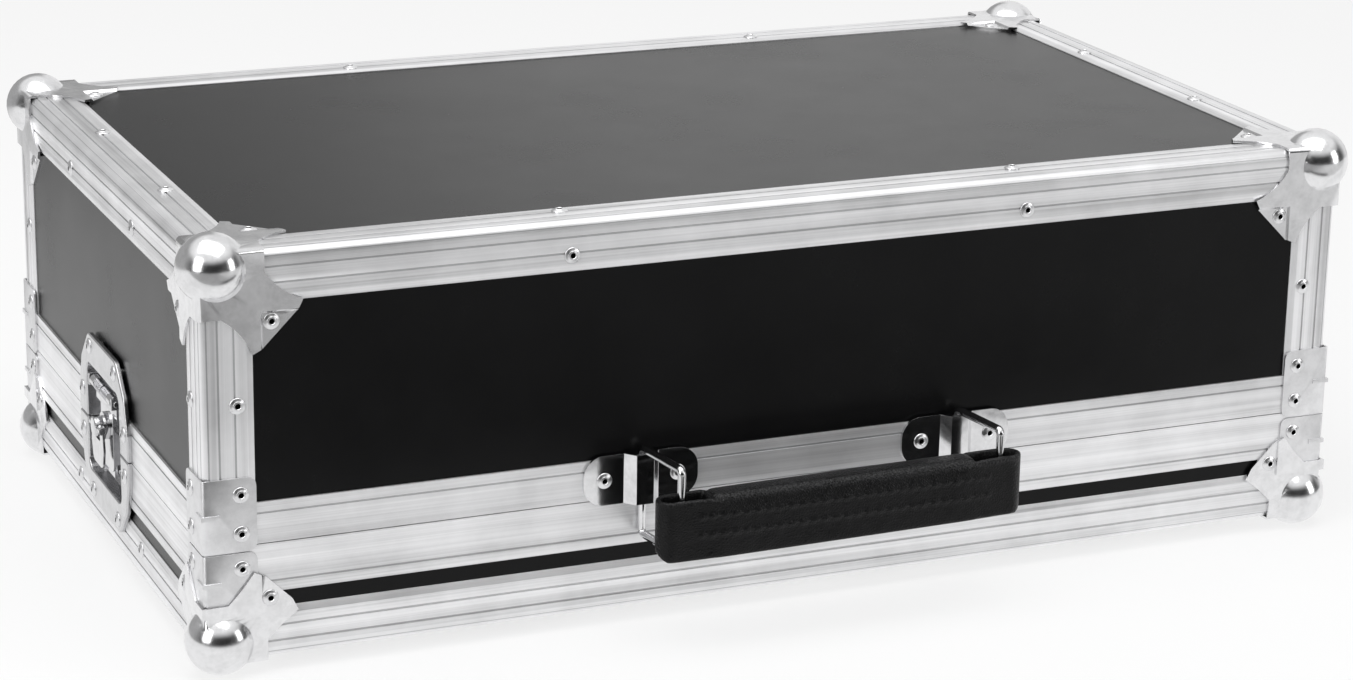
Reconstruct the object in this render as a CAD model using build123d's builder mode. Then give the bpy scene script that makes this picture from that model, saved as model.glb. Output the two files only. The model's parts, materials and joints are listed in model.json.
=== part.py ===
"""A hood-type flight case: plywood panels held in riveted aluminium profiles, with ball corners, corner
braces, a sprung butterfly latch on each short side and a carrying handle on two sprung rings at the front.

The case stands on its four lower ball corners, +Z up, front towards -Y. All sizes are millimetres.
The origin is on the floor under the middle of the whole object, handle included.
"""
from build123d import *
import math
import os

os.makedirs("parts", exist_ok=True)

# Driving sizes of the box, over the faces of the profiles
case_width = 720.0
case_depth = 421.0
case_height = 237.0
parting_height = 68.5
parting_gap = 0.5

# Panels, profiles and linings
panel_thickness = 7.0
panel_edge_gap = 2.0
profile_sheet = 1.5
angle_leg = 30.0
angle_nose = 6.0
nose_sheet = 0.8
groove_places = (10.0, 19.2)
groove_width = 1.2
groove_depth = 0.5
base_closing_leg = 29.0
lid_closing_leg = 24.4
closing_inner_leg = 16.0
closing_web = 2.0
closing_line_place = 7.0
closing_line_depth = 0.5
tongue_width = 3.0
tongue_height = 5.0
tongue_clearance = 0.5
upright_gap = 0.2
foam_thickness = 10.0
foam_gap = 1.0

# Ball corners and corner braces
fitting_sheet = 1.5
ball_radius = 20.0
ball_inset = 10.7
ball_sheet = 1.6
corner_arm = 37.0
corner_arm_width = 12.0
corner_tip_far = 58.5
corner_tip_near = 32.8
corner_tip_radius = 3.5
corner_curve_rise = 9.0
base_corner_tip_far = 53.0
base_corner_tip_near = 31.0
base_corner_arm = 35.0
base_corner_curve_rise = 6.2
corner_edge_radius = 2.8
corner_rivet_inset = 40.6
base_corner_rivet_inset = 36.7
step_overlap = 1.5
corner_step = 32.8
base_corner_step = 30.2
brace_sheet = 1.2
brace_height = 43.0
brace_leg = 30.0
brace_tip_radius = 5.0
brace_rivet_inset = 21.0
brace_rivet_heights = (7.6, 30.4)
base_brace_rivet_depth = 12.9
brace_bead_length = 9.0
brace_bead_width = 2.6
brace_bead_height = 0.8
overhang = 2.8
overhang_relief = 0.15
overhang_gap = 0.8

# Rivets
rivet_shank_radius = 2.4
rivet_head_radius = 4.75
rivet_head_height = 1.4
rivet_bore_radius = 1.5
rivet_bore_depth = 2.5
rivet_length = 11.0
rivet_hole_clearance = 0.05
long_row_offset = 144.0
short_row_offset = 72.0
row_inset = 20.5
upright_rivet_height = 150.0

# Handle: brackets, rings and grip
handle_half_spacing = 101.3
bracket_length = 71.0
bracket_height = 30.0
bracket_sheet = 1.8
bracket_end_radius = 12.5
bracket_rivet_offset = 22.8
bridge_top_half = 4.6
bridge_foot_half = 9.8
ring_wire = 4.8
ring_reach = 44.2
ring_height = 51.6
ring_corner_radius = 3.0
ring_clearance = 0.35
ring_swing_at_rest = 7.5
grip_thickness = 20.0
loop_height = 31.2
grip_height = 34.0
grip_body_half = 82.0
grip_end_radius = 8.5
grip_end_overhang = 5.8
grip_taper_length = 30.0
grip_slot_length = 4.0
grip_slot_radius = 5.3
grip_edge_radius = 1.2
grip_upper_edge_radius = 1.8
grip_lower_edge_radius = 0.45

# Latch: the two dishes, from the parting line up or down
dish_rim_radius = 8.0
dish_upper_rivets = ((48.5, 16.0), (29.0, 48.0))
dish_lower_rivets = ((48.5, 10.0), (29.0, 43.5))
dish_upper_swell = (43.0, 33.0)
dish_lower_swell = (43.0, 28.5)
dish_split = 0.6
dish_flange = 2.9
dish_edge_radius = 1.1
dish_sheet = 1.2
recess_half_width = 39.0
recess_upper_reach = 36.5
recess_lower_reach = 32.0
recess_depth = 6.0
recess_corner_radius = 7.0
cutout_clearance = 0.4
keeper_half_width = 9.0
keeper_height = 2.5
keeper_thickness = 2.2
keeper_place = 21.0
ear_place = 26.6
ear_thickness = 2.2

# Latch: sprung arm, hook, turret and butterfly
pivot_height = 28.0
pivot_depth = -1.0
pivot_radius = 2.0
pivot_clearance = 0.08
pin_half_length = 28.5
knuckle_radius = 3.6
knuckle_start = 15.4
knuckle_end = 24.0
arm_shoulder_depth = 10.0
arm_top_depth = 4.6
arm_half_width = 14.0
arm_length = 48.0
arm_sheet = 1.5
arm_face_level = 0.6
arm_guide_depth = 3.4
hook_half_width = 12.0
hook_sheet = 2.0
hook_gap = 0.6
hook_top = 12.0
hook_toe_height = 2.2
hook_toe_depth = 2.2
hook_prong_half_width = 7.0
keeper_play = 0.9
turret_place = 21.5
turret_radius = 8.5
turret_height = 2.3
boss_radius = 6.0
boss_height = 8.5
axle_radius = 3.0
eccentric_radius = 5.0
eccentric_throw = 2.5
eccentric_play = 0.65
cap_radius = 7.9
cap_height = 1.0
wing_pin_radius = 1.5
wing_pin_level = 5.3
wing_knuckle_radius = 2.6
wing_knuckle_start = 6.4
wing_knuckle_end = 12.0
wing_plate_start = 7.8
wing_length = 24.0
wing_half_width = 11.0
wing_sheet = 1.5
spring_wire = 1.2
spring_radius = 3.1
spring_pitch = 1.75
spring_turns = 7
spring_start = 1.0
spring_leg = 8.0

# Values worked out from the ones above
wall = profile_sheet + panel_thickness
inner_face = wall + profile_sheet
foot = ball_radius - ball_inset
half_gap = parting_gap / 2
ring_radius = ring_wire / 2
ring_offset = grip_slot_radius - ring_radius - ring_clearance
ring_axis_level = ring_radius + 1.2
bridge_inner_level = ring_axis_level + ring_radius + ring_clearance
ring_swing = math.radians(ring_swing_at_rest)
grip_level = ring_axis_level + ring_reach * math.cos(ring_swing) - ring_offset
grip_shift = ring_reach * math.sin(ring_swing)
case_shift = (grip_level + grip_thickness / 2 - foot) / 2
bracket_middle = parting_height + lid_closing_leg / 2
ring_top = bracket_middle + bracket_height / 2 + ring_clearance + ring_radius
ring_bottom = ring_top - ring_height
loop_bottom = ring_bottom + ring_corner_radius + ring_clearance
grip_bottom = ring_bottom + ring_radius + ring_clearance
lid_web_top = half_gap + tongue_height + tongue_clearance + closing_web
base_web_bottom = half_gap + closing_web
rivet_hole_radius = rivet_shank_radius + rivet_hole_clearance
brace_low = parting_height - overhang
drill_start = 12.0

up = Vector(0, 0, 1)
case_centre = Vector(0, case_shift, foot)
outward = {
    "front": Vector(0, -1, 0),
    "back": Vector(0, 1, 0),
    "left": Vector(-1, 0, 0),
    "right": Vector(1, 0, 0),
}
side_length = {"front": case_width, "back": case_width, "left": case_depth, "right": case_depth}
side_distance = {
    "front": case_depth / 2,
    "back": case_depth / 2,
    "left": case_width / 2,
    "right": case_width / 2,
}
latched_sides = ("left", "right")
mirror_left_right = Plane.YZ
mirror_front_back = Plane(origin=(0, case_shift, 0), x_dir=(1, 0, 0), z_dir=(0, 1, 0))


def finish(builder, name):
    """Names the finished piece and writes its file."""
    builder.part.label = name
    export_step(builder.part, f"parts/{name}.step")


def face_plane(side, level=0.0):
    """A side seen from outside: x right, y up from the underside, z out, so far out of the profiles."""
    normal = outward[side]
    origin = case_centre + normal * (side_distance[side] + level)
    return Plane(origin=origin, x_dir=up.cross(normal), z_dir=normal)


def section_plane(side, height, downward=False):
    """Across a side's profiles: x points out of the side and y up, or down, from its outer face."""
    normal = outward[side]
    origin = case_centre + normal * side_distance[side] + up * height
    across = normal.cross(up) * (-1 if downward else 1)
    return Plane(origin=origin, x_dir=normal, z_dir=across)


def top_plane(level=0.0):
    """The lid's top face, z up."""
    return Plane(origin=case_centre + up * (case_height + level), x_dir=(1, 0, 0), z_dir=(0, 0, 1))


def bottom_plane(level=0.0):
    """The base's underside, z down."""
    return Plane(origin=case_centre - up * level, x_dir=(1, 0, 0), z_dir=(0, 0, -1))


def corner_plane(height):
    """Across the front left upright edge: x and y point out of the left and the front side."""
    origin = case_centre + Vector(-case_width / 2, -case_depth / 2, height)
    return Plane(origin=origin, x_dir=(-1, 0, 0), z_dir=(0, 0, 1))


def block(x_low, y_low, x_high, y_high, mode=Mode.ADD):
    """A rectangle in the sketch between two corners."""
    with Locations(((x_low + x_high) / 2, (y_low + y_high) / 2)):
        Rectangle(x_high - x_low, y_high - y_low, mode=mode)


def drill(plane, points, depth, radius=rivet_hole_radius):
    """Drills round holes into the piece from a face plane."""
    with BuildSketch(plane.offset(drill_start)) as profile:
        with Locations(*points):
            Circle(radius)
    extrude(profile.sketch, amount=-(drill_start + depth), mode=Mode.SUBTRACT)


def both_ways(distance, height):
    """Two points at one height, left and right of the middle."""
    return [(-distance, height), (distance, height)]


def row_offset(side):
    return short_row_offset if side in latched_sides else long_row_offset


def top_row(side):
    """The rivets through the upright leg of a side's top angle."""
    return both_ways(row_offset(side), case_height - row_inset)


def bottom_row(side):
    """The rivets through the upright leg of a side's bottom angle, which only the short sides have."""
    return both_ways(row_offset(side), row_inset) if side in latched_sides else []


def lid_corner_points(side):
    return both_ways(side_length[side] / 2 - corner_rivet_inset, case_height - corner_rivet_inset)


def base_corner_points(side):
    return both_ways(side_length[side] / 2 - base_corner_rivet_inset, base_corner_rivet_inset)


def upright_points(side):
    return both_ways(side_length[side] / 2 - row_inset, upright_rivet_height)


def lid_brace_points(side):
    distance = side_length[side] / 2 - brace_rivet_inset
    low, high = (parting_height + place for place in brace_rivet_heights)
    return both_ways(distance, low) + both_ways(distance, high)


def base_brace_points(side):
    return both_ways(side_length[side] / 2 - brace_rivet_inset, parting_height - base_brace_rivet_depth)


def dish_points(side, way):
    """A latch's four rivets above (way 1) or below (way -1) the parting line."""
    if side not in latched_sides:
        return []
    rivets = dish_upper_rivets if way > 0 else dish_lower_rivets
    return [point for x, y in rivets for point in both_ways(x, parting_height + way * y)]


def bracket_points(side):
    if side != "front":
        return []
    middles = (-handle_half_spacing, handle_half_spacing)
    offsets = (-bracket_rivet_offset, bracket_rivet_offset)
    return [(middle + offset, bracket_middle) for middle in middles for offset in offsets]


def flat_row_points():
    """The rivets through the lying legs of the top angles."""
    across = case_depth / 2 - row_inset
    along = case_width / 2 - row_inset
    points = both_ways(long_row_offset, across) + both_ways(long_row_offset, -across)
    return points + both_ways(along, short_row_offset) + both_ways(along, -short_row_offset)


def flat_corner_points(inset):
    """The rivets of four ball corners on the top or the bottom face."""
    along, across = case_width / 2 - inset, case_depth / 2 - inset
    return both_ways(along, across) + both_ways(along, -across)


def mitre(side):
    """Cuts both ends of a bar at 45 degrees, in planes through the case's upright edges."""
    normal = outward[side]
    along = up.cross(normal)
    for end in (-1, 1):
        corner = case_centre + normal * side_distance[side] + along * (end * side_length[side] / 2)
        split(bisect_by=Plane(origin=corner, z_dir=along * end - normal), keep=Keep.BOTTOM)


def cut_latch_opening(side):
    """Cuts the opening for the latch's two pressed recesses through the wall."""
    half = recess_half_width + dish_sheet + cutout_clearance
    low = parting_height - recess_lower_reach - dish_sheet - cutout_clearance
    high = parting_height + recess_upper_reach + dish_sheet + cutout_clearance
    with BuildSketch(face_plane(side, drill_start)) as profile:
        block(-half, low, half, high)
    extrude(profile.sketch, amount=-(drill_start + 3 * wall), mode=Mode.SUBTRACT)


def draw_angle_section():
    """The edge angle: its outer corner at the origin, legs towards -x and -y, two grooves in each."""
    bend = angle_nose * (1 - math.sqrt(0.5))
    inner = angle_nose - nose_sheet
    inner_bend = angle_nose - inner * math.sqrt(0.5)
    inner_start = angle_nose - math.sqrt(inner**2 - (angle_nose - profile_sheet) ** 2)
    with BuildLine() as outline:
        ThreePointArc((0, -angle_nose), (-bend, -bend), (-angle_nose, 0))
        Polyline(
            (-angle_nose, 0),
            (-angle_leg, 0),
            (-angle_leg, -profile_sheet),
            (-inner_start, -profile_sheet),
        )
        ThreePointArc(
            (-inner_start, -profile_sheet),
            (-inner_bend, -inner_bend),
            (-profile_sheet, -inner_start),
        )
        Polyline(
            (-profile_sheet, -inner_start),
            (-profile_sheet, -angle_leg),
            (0, -angle_leg),
            (0, -angle_nose),
        )
    make_face(outline.edges())
    for place in groove_places:
        near, far = -place - groove_width / 2, -place + groove_width / 2
        block(near, -groove_depth, far, 0, Mode.SUBTRACT)
        block(-groove_depth, near, 0, far, Mode.SUBTRACT)


def draw_corner_outline(base=False):
    """A ball corner's leaf on one face: u and v inwards from the case's two edges."""
    arm = base_corner_arm if base else corner_arm
    tip_far = base_corner_tip_far if base else corner_tip_far
    tip_near = base_corner_tip_near if base else corner_tip_near
    rise = base_corner_curve_rise if base else corner_curve_rise
    curve_place = arm + (tip_far - arm) * 0.35
    with BuildLine() as outline:
        Polyline(
            (corner_arm_width, arm),
            (-fitting_sheet, arm),
            (-fitting_sheet, -fitting_sheet),
            (arm, -fitting_sheet),
            (arm, corner_arm_width),
        )
        ThreePointArc(
            (arm, corner_arm_width),
            (curve_place, corner_arm_width + rise),
            (tip_far, tip_near - corner_tip_radius),
        )
        Polyline(
            (tip_far, tip_near - corner_tip_radius),
            (tip_far - corner_tip_radius, tip_near + corner_tip_radius),
            (tip_near + corner_tip_radius, tip_far - corner_tip_radius),
            (tip_near - corner_tip_radius, tip_far),
        )
        ThreePointArc(
            (tip_near - corner_tip_radius, tip_far),
            (corner_arm_width + rise, curve_place),
            (corner_arm_width, arm),
        )
    make_face(outline.edges())


def corner_faces(height, upward):
    """The front left corner's planes, u and v inwards, z out: front face, left face, top or bottom."""
    corner = case_centre + Vector(-case_width / 2, -case_depth / 2, height)
    inward = Vector(0, 0, -1 if upward else 1)
    front = Plane(origin=corner, x_dir=(1, 0, 0), z_dir=Vector(1, 0, 0).cross(inward))
    left = Plane(origin=corner, x_dir=(0, 1, 0), z_dir=Vector(0, 1, 0).cross(inward))
    flat = Plane(origin=corner, x_dir=(1, 0, 0), z_dir=(0, 0, 1))
    return front, left, flat


def outer_way(plane, middle):
    """1 where the plane's z points out of the case, else -1."""
    return 1 if (plane.origin - middle).dot(plane.z_dir) > 0 else -1


def lid_points(side):
    """Each group of rivets through a side of the lid, with the level of the face that their heads sit on."""
    return [
        (top_row(side) + upright_points(side), 0.0),
        (lid_corner_points(side), fitting_sheet - profile_sheet),
        (lid_brace_points(side), brace_sheet),
        (dish_points(side, 1), dish_flange),
        (bracket_points(side), bracket_sheet),
    ]


def base_points(side):
    """Each group of rivets through a side of the base, with the level that their heads sit on."""
    return [
        (bottom_row(side), 0.0),
        (base_corner_points(side), fitting_sheet),
        (base_brace_points(side), brace_sheet),
        (dish_points(side, -1), dish_flange),
    ]


def drill_side(side, groups):
    """Drills a side's rivet holes into the piece."""
    points = [point for group, _ in groups for point in group]
    drill(face_plane(side), points, inner_face + 1.0)


def drill_flat(plane, corner_inset, with_rows):
    """Drills the holes of the top or the bottom face into the piece."""
    points = flat_corner_points(corner_inset) + (flat_row_points() if with_rows else [])
    drill(plane, points, wall + 1.0)


def add_rivets(plane, points, depth):
    """Blind rivets whose heads sit on this plane and whose shanks reach this far below it."""
    if not points:
        return
    with BuildSketch(plane.offset(-depth)) as profile:
        with Locations(*points):
            Circle(rivet_shank_radius)
    extrude(profile.sketch, amount=depth + 0.1)
    with BuildSketch(plane) as profile:
        with Locations(*points):
            Circle(rivet_head_radius)
    extrude(profile.sketch, amount=rivet_head_height, taper=35)
    with BuildSketch(plane.offset(rivet_head_height)) as profile:
        with Locations(*points):
            Circle(rivet_bore_radius)
    extrude(profile.sketch, amount=-rivet_bore_depth, mode=Mode.SUBTRACT)


def add_panel(side, low, high):
    """A side wall's plywood: front and back run the full width, left and right stand between them."""
    half = side_length[side] / 2 - (wall if side in latched_sides else profile_sheet + panel_edge_gap)
    with BuildSketch(face_plane(side, -wall)) as profile:
        block(-half, low, half, high)
    extrude(profile.sketch, amount=panel_thickness)


def draw_closing_section(outer_leg, lid):
    """A closing profile across the wall, its outer face on x = 0 and the parting line on y = 0."""
    web_far = lid_web_top if lid else base_web_bottom
    middle = -inner_face / 2
    block(-profile_sheet, half_gap, 0, outer_leg)
    block(-inner_face, half_gap, -wall, closing_inner_leg)
    block(-inner_face, half_gap, 0, web_far)
    if lid:
        groove = tongue_width / 2 + tongue_clearance
        groove_top = half_gap + tongue_height + tongue_clearance
        block(middle - groove, half_gap, middle + groove, groove_top, Mode.SUBTRACT)
    else:
        block(middle - tongue_width / 2, -tongue_height, middle + tongue_width / 2, half_gap)
    line = -closing_line_depth
    block(line, outer_leg - closing_line_place, 0, outer_leg - closing_line_place + groove_width, Mode.SUBTRACT)

# Four walls, edge angles and closing profiles of the lid and of the base
for side in outward:
    with BuildPart() as lid_panel:
        add_panel(side, parting_height + lid_web_top, case_height - wall)
        drill_side(side, lid_points(side))
        if side in latched_sides:
            cut_latch_opening(side)
    finish(lid_panel, f"lid_{side}_panel")

    with BuildPart() as base_panel:
        add_panel(side, wall, parting_height - base_web_bottom)
        drill_side(side, base_points(side))
        if side in latched_sides:
            cut_latch_opening(side)
    finish(base_panel, f"base_{side}_panel")

    with BuildPart() as lid_edge:
        with BuildSketch(section_plane(side, case_height)):
            draw_angle_section()
        extrude(amount=side_length[side] / 2, both=True)
        mitre(side)
        drill_side(side, lid_points(side))
        drill_flat(top_plane(), corner_rivet_inset, with_rows=True)
    finish(lid_edge, f"lid_{side}_edge")

    with BuildPart() as base_edge:
        with BuildSketch(section_plane(side, 0.0, downward=True)):
            draw_angle_section()
        extrude(amount=side_length[side] / 2, both=True)
        mitre(side)
        drill_side(side, base_points(side))
    finish(base_edge, f"base_{side}_edge")

    with BuildPart() as lid_closing:
        with BuildSketch(section_plane(side, parting_height)):
            draw_closing_section(lid_closing_leg, lid=True)
        extrude(amount=side_length[side] / 2, both=True)
        mitre(side)
        drill_side(side, lid_points(side))
        if side in latched_sides:
            cut_latch_opening(side)
    finish(lid_closing, f"lid_{side}_closing")

    with BuildPart() as base_closing:
        with BuildSketch(section_plane(side, parting_height, downward=True)):
            draw_closing_section(base_closing_leg, lid=False)
        extrude(amount=side_length[side] / 2, both=True)
        mitre(side)
        drill_side(side, base_points(side))
        if side in latched_sides:
            cut_latch_opening(side)
    finish(base_closing, f"base_{side}_closing")

# Top panel and floor panel
flat_half_width = case_width / 2 - profile_sheet - panel_edge_gap
flat_half_depth = case_depth / 2 - profile_sheet - panel_edge_gap
with BuildPart() as lid_top_panel:
    with BuildSketch(top_plane(-wall)):
        Rectangle(2 * flat_half_width, 2 * flat_half_depth)
    extrude(amount=panel_thickness)
    drill_flat(top_plane(), corner_rivet_inset, with_rows=True)
finish(lid_top_panel, "lid_top_panel")

with BuildPart() as base_floor_panel:
    with BuildSketch(bottom_plane(-wall)):
        Rectangle(2 * flat_half_width, 2 * flat_half_depth)
    extrude(amount=panel_thickness)
    drill_flat(bottom_plane(), base_corner_rivet_inset, with_rows=False)
finish(base_floor_panel, "base_floor_panel")

# Foam pads under the lid's top and on the floor
pad_width = case_width - 2 * (inner_face + foam_gap)
pad_depth = case_depth - 2 * (inner_face + foam_gap)
with BuildPart() as lid_foam:
    with BuildSketch(top_plane(-wall - foam_thickness)):
        Rectangle(pad_width, pad_depth)
    extrude(amount=foam_thickness)
finish(lid_foam, "lid_foam")

with BuildPart() as base_foam:
    with BuildSketch(bottom_plane(-wall)):
        Rectangle(pad_width, pad_depth)
    extrude(amount=-foam_thickness)
finish(base_foam, "base_foam")

# Upright angles: tall ones in the lid, short ones in the base, one at each corner
with BuildPart() as lid_uprights:
    with BuildSketch(corner_plane(parting_height + lid_closing_leg + upright_gap)):
        draw_angle_section()
    extrude(amount=case_height - angle_leg - parting_height - lid_closing_leg - 2 * upright_gap)
    mirror(about=mirror_left_right)
    mirror(about=mirror_front_back)
    for side in outward:
        drill_side(side, lid_points(side))
finish(lid_uprights, "lid_uprights")

with BuildPart() as base_uprights:
    with BuildSketch(corner_plane(angle_leg + upright_gap)):
        draw_angle_section()
    extrude(amount=parting_height - base_closing_leg - angle_leg - 2 * upright_gap)
    mirror(about=mirror_left_right)
    mirror(about=mirror_front_back)
    for side in outward:
        drill_side(side, base_points(side))
finish(base_uprights, "base_uprights")


def add_brace(low, high):
    """A pressed angle round the front left upright edge, with a bead across the bend."""
    with BuildSketch(corner_plane(low)) as profile:
        block(-brace_leg, 0, brace_sheet, brace_sheet)
        block(0, -brace_leg, brace_sheet, brace_sheet)
    extrude(profile.sketch, amount=high - low)
    free_ends = edges().filter_by(Axis.Y).group_by(Axis.X)[-1]
    free_ends += edges().filter_by(Axis.X).group_by(Axis.Y)[-1]
    fillet(free_ends, brace_tip_radius)
    bend = edges().filter_by(Axis.Z).sort_by(lambda edge: edge.center().X + edge.center().Y)[0]
    fillet(bend, brace_sheet * 1.8)
    level = brace_sheet + brace_bead_height
    with BuildSketch(corner_plane((low + high - brace_bead_width) / 2)) as profile:
        block(-brace_bead_length, brace_sheet / 2, level, level)
        block(brace_sheet / 2, -brace_bead_length, level, level)
        block(0, 0, brace_sheet, brace_sheet)
    extrude(profile.sketch, amount=brace_bead_width)


with BuildPart() as lid_braces:
    add_brace(brace_low, brace_low + brace_height)
    with BuildSketch(corner_plane(brace_low)):
        block(-brace_leg, -brace_leg, overhang_relief, overhang_relief)
    extrude(amount=overhang + half_gap, mode=Mode.SUBTRACT)
    mirror(about=mirror_left_right)
    mirror(about=mirror_front_back)
    for side in outward:
        drill_side(side, lid_points(side))
finish(lid_braces, "lid_braces")

base_brace_low = angle_leg + 0.3
with BuildPart() as base_braces:
    add_brace(base_brace_low, brace_low - overhang_gap)
    mirror(about=mirror_left_right)
    mirror(about=mirror_front_back)
    for side in outward:
        drill_side(side, base_points(side))
finish(base_braces, "base_braces")


def case_block(height_low, height_high):
    """Cuts the body of the case itself out of the piece."""
    with BuildSketch(Plane(origin=case_centre + up * height_low)) as profile:
        Rectangle(case_width, case_depth)
    extrude(profile.sketch, amount=height_high - height_low, mode=Mode.SUBTRACT)


def round_corner_bends(upward, level):
    """Rounds the three bends of the front left ball corner's leaves, at the outermost level."""
    z_way = -1 if upward else 1
    bends = [
        edges().filter_by(Axis.Z).sort_by(lambda edge: edge.center().X + edge.center().Y)[0],
        edges().filter_by(Axis.X).sort_by(lambda edge: edge.center().Y + z_way * edge.center().Z)[0],
        edges().filter_by(Axis.Y).sort_by(lambda edge: edge.center().X + z_way * edge.center().Z)[0],
    ]
    fillet(bends, corner_edge_radius)


def add_ball(height, upward):
    """The hollow ball over the corner and nothing of it inside the case."""
    z_inset = -ball_inset if upward else ball_inset
    centre = case_centre + Vector(
        -case_width / 2 + ball_inset, -case_depth / 2 + ball_inset, height + z_inset
    )
    with Locations(centre):
        Sphere(ball_radius)
        Sphere(ball_radius - ball_sheet, mode=Mode.SUBTRACT)


far = 2 * corner_tip_far
with BuildPart() as lid_corners:
    planes = corner_faces(case_height, upward=True)
    for plane in planes:
        way = outer_way(plane, case_centre + up * parting_height)
        with BuildSketch(plane):
            draw_corner_outline()
            step = corner_step + step_overlap
            block(step, step, far, far, Mode.SUBTRACT)
        extrude(amount=way * fitting_sheet)
    round_corner_bends(upward=True, level=fitting_sheet)
    add_ball(case_height, upward=True)
    case_block(0, case_height)
    for plane in planes:
        way = outer_way(plane, case_centre + up * parting_height)
        with BuildSketch(plane.offset(-way * profile_sheet)):
            draw_corner_outline()
            block(corner_step, corner_step, far, far, Mode.INTERSECT)
        extrude(amount=way * fitting_sheet)
    mirror(about=mirror_left_right)
    mirror(about=mirror_front_back)
    for side in outward:
        drill_side(side, lid_points(side))
    drill_flat(top_plane(), corner_rivet_inset, with_rows=False)
finish(lid_corners, "lid_corners")

joggle_level = brace_sheet + 0.1
with BuildPart() as base_corners:
    planes = corner_faces(0, upward=False)
    for plane in planes:
        way = outer_way(plane, case_centre + up * parting_height)
        flat = plane is planes[2]
        step = base_corner_step + step_overlap
        with BuildSketch(plane):
            draw_corner_outline(base=True)
            if flat:
                block(step, step, far, far, Mode.SUBTRACT)
            else:
                block(-far, angle_leg, base_corner_step, far, Mode.SUBTRACT)
        extrude(amount=way * fitting_sheet)
    round_corner_bends(upward=False, level=fitting_sheet)
    add_ball(0, upward=False)
    case_block(0, case_height)
    for plane in planes[:2]:
        way = outer_way(plane, case_centre + up * parting_height)
        with BuildSketch(plane.offset(way * joggle_level)):
            draw_corner_outline(base=True)
            block(-far, 0, fitting_sheet, base_corner_arm)
            block(-joggle_level - fitting_sheet, angle_leg - step_overlap, step, corner_tip_far, Mode.INTERSECT)
        extrude(amount=way * fitting_sheet)
    with BuildSketch(planes[2].offset(profile_sheet)):
        draw_corner_outline(base=True)
        block(base_corner_step, base_corner_step, far, far, Mode.INTERSECT)
    extrude(amount=-fitting_sheet)
    mirror(about=mirror_left_right)
    mirror(about=mirror_front_back)
    for side in outward:
        drill_side(side, base_points(side))
    drill_flat(bottom_plane(), base_corner_rivet_inset, with_rows=False)
finish(base_corners, "base_corners")

# Rivets
with BuildPart() as lid_rivets:
    for side in outward:
        for points, level in lid_points(side):
            add_rivets(face_plane(side, level), points, level + inner_face)
    add_rivets(top_plane(), flat_row_points(), wall - 0.1)
    add_rivets(top_plane(fitting_sheet - profile_sheet), flat_corner_points(corner_rivet_inset), wall - 0.1)
finish(lid_rivets, "lid_rivets")

with BuildPart() as base_rivets:
    for side in outward:
        for points, level in base_points(side):
            add_rivets(face_plane(side, level), points, level + inner_face)
    add_rivets(bottom_plane(), flat_corner_points(base_corner_rivet_inset), wall - 0.1)
finish(base_rivets, "base_rivets")


def handle_plane(height, level=0.0):
    """Level with the floor, at this height: x right, y out of the front face, z down."""
    origin = case_centre + outward["front"] * (case_depth / 2 + level) + up * height
    return Plane(origin=origin, x_dir=(1, 0, 0), z_dir=(0, 0, -1))


def draw_bracket_section(middle):
    """A strip with a raised bridge in its middle, on the front face."""
    slope = math.atan2(bridge_inner_level, bridge_foot_half - bridge_top_half)
    shift = bracket_sheet * math.tan(slope / 2)
    outer_level = bridge_inner_level + bracket_sheet
    half = bracket_length / 2
    with BuildLine() as outline:
        Polyline(
            (middle - half, 0),
            (middle - bridge_foot_half, 0),
            (middle - bridge_top_half, bridge_inner_level),
            (middle + bridge_top_half, bridge_inner_level),
            (middle + bridge_foot_half, 0),
            (middle + half, 0),
            (middle + half, bracket_sheet),
            (middle + bridge_foot_half + shift, bracket_sheet),
            (middle + bridge_top_half + shift, outer_level),
            (middle - bridge_top_half - shift, outer_level),
            (middle - bridge_foot_half - shift, bracket_sheet),
            (middle - half, bracket_sheet),
            close=True,
        )
    make_face(outline.edges())


# The handle's brackets and rings
for name, middle in (("left", -handle_half_spacing), ("right", handle_half_spacing)):
    with BuildPart() as bracket:
        with BuildSketch(handle_plane(bracket_middle)):
            draw_bracket_section(middle)
        extrude(amount=bracket_height / 2, both=True)
        bends = edges().filter_by(Axis.Z)
        bends = bends.filter_by(lambda edge: abs(edge.center().X - middle) < bridge_foot_half + 2)
        fillet(bends, bracket_sheet * 0.4)
        ends = edges().filter_by(Axis.Y)
        ends = ends.filter_by(lambda edge: abs(edge.center().X - middle) > bracket_length / 2 - 1)
        fillet(ends, bracket_end_radius)
        low = bracket_middle - bracket_height / 2
        with BuildSketch(face_plane("front")):
            block(middle - bracket_length, low - 1, middle + bracket_length, parting_height + half_gap)
        extrude(amount=overhang_relief, mode=Mode.SUBTRACT)
        drill_side("front", lid_points("front"))
    finish(bracket, f"{name}_bracket")

    hinge = handle_plane((ring_top + ring_bottom) / 2, ring_axis_level).origin + Vector(middle, 0, 0)
    reach_way = Vector(math.sin(ring_swing), -math.cos(ring_swing), 0)
    with BuildSketch(Plane(origin=hinge, x_dir=reach_way, z_dir=reach_way.cross(up))) as loop:
        with Locations((ring_reach / 2, 0)):
            RectangleRounded(ring_reach, ring_height, ring_corner_radius)
    path = loop.sketch.faces()[0].outer_wire()
    with BuildPart() as ring:
        with BuildSketch(Plane(origin=path @ 0, z_dir=path % 0)):
            Circle(ring_radius)
        sweep(path=path)
    finish(ring, f"{name}_ring")

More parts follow.
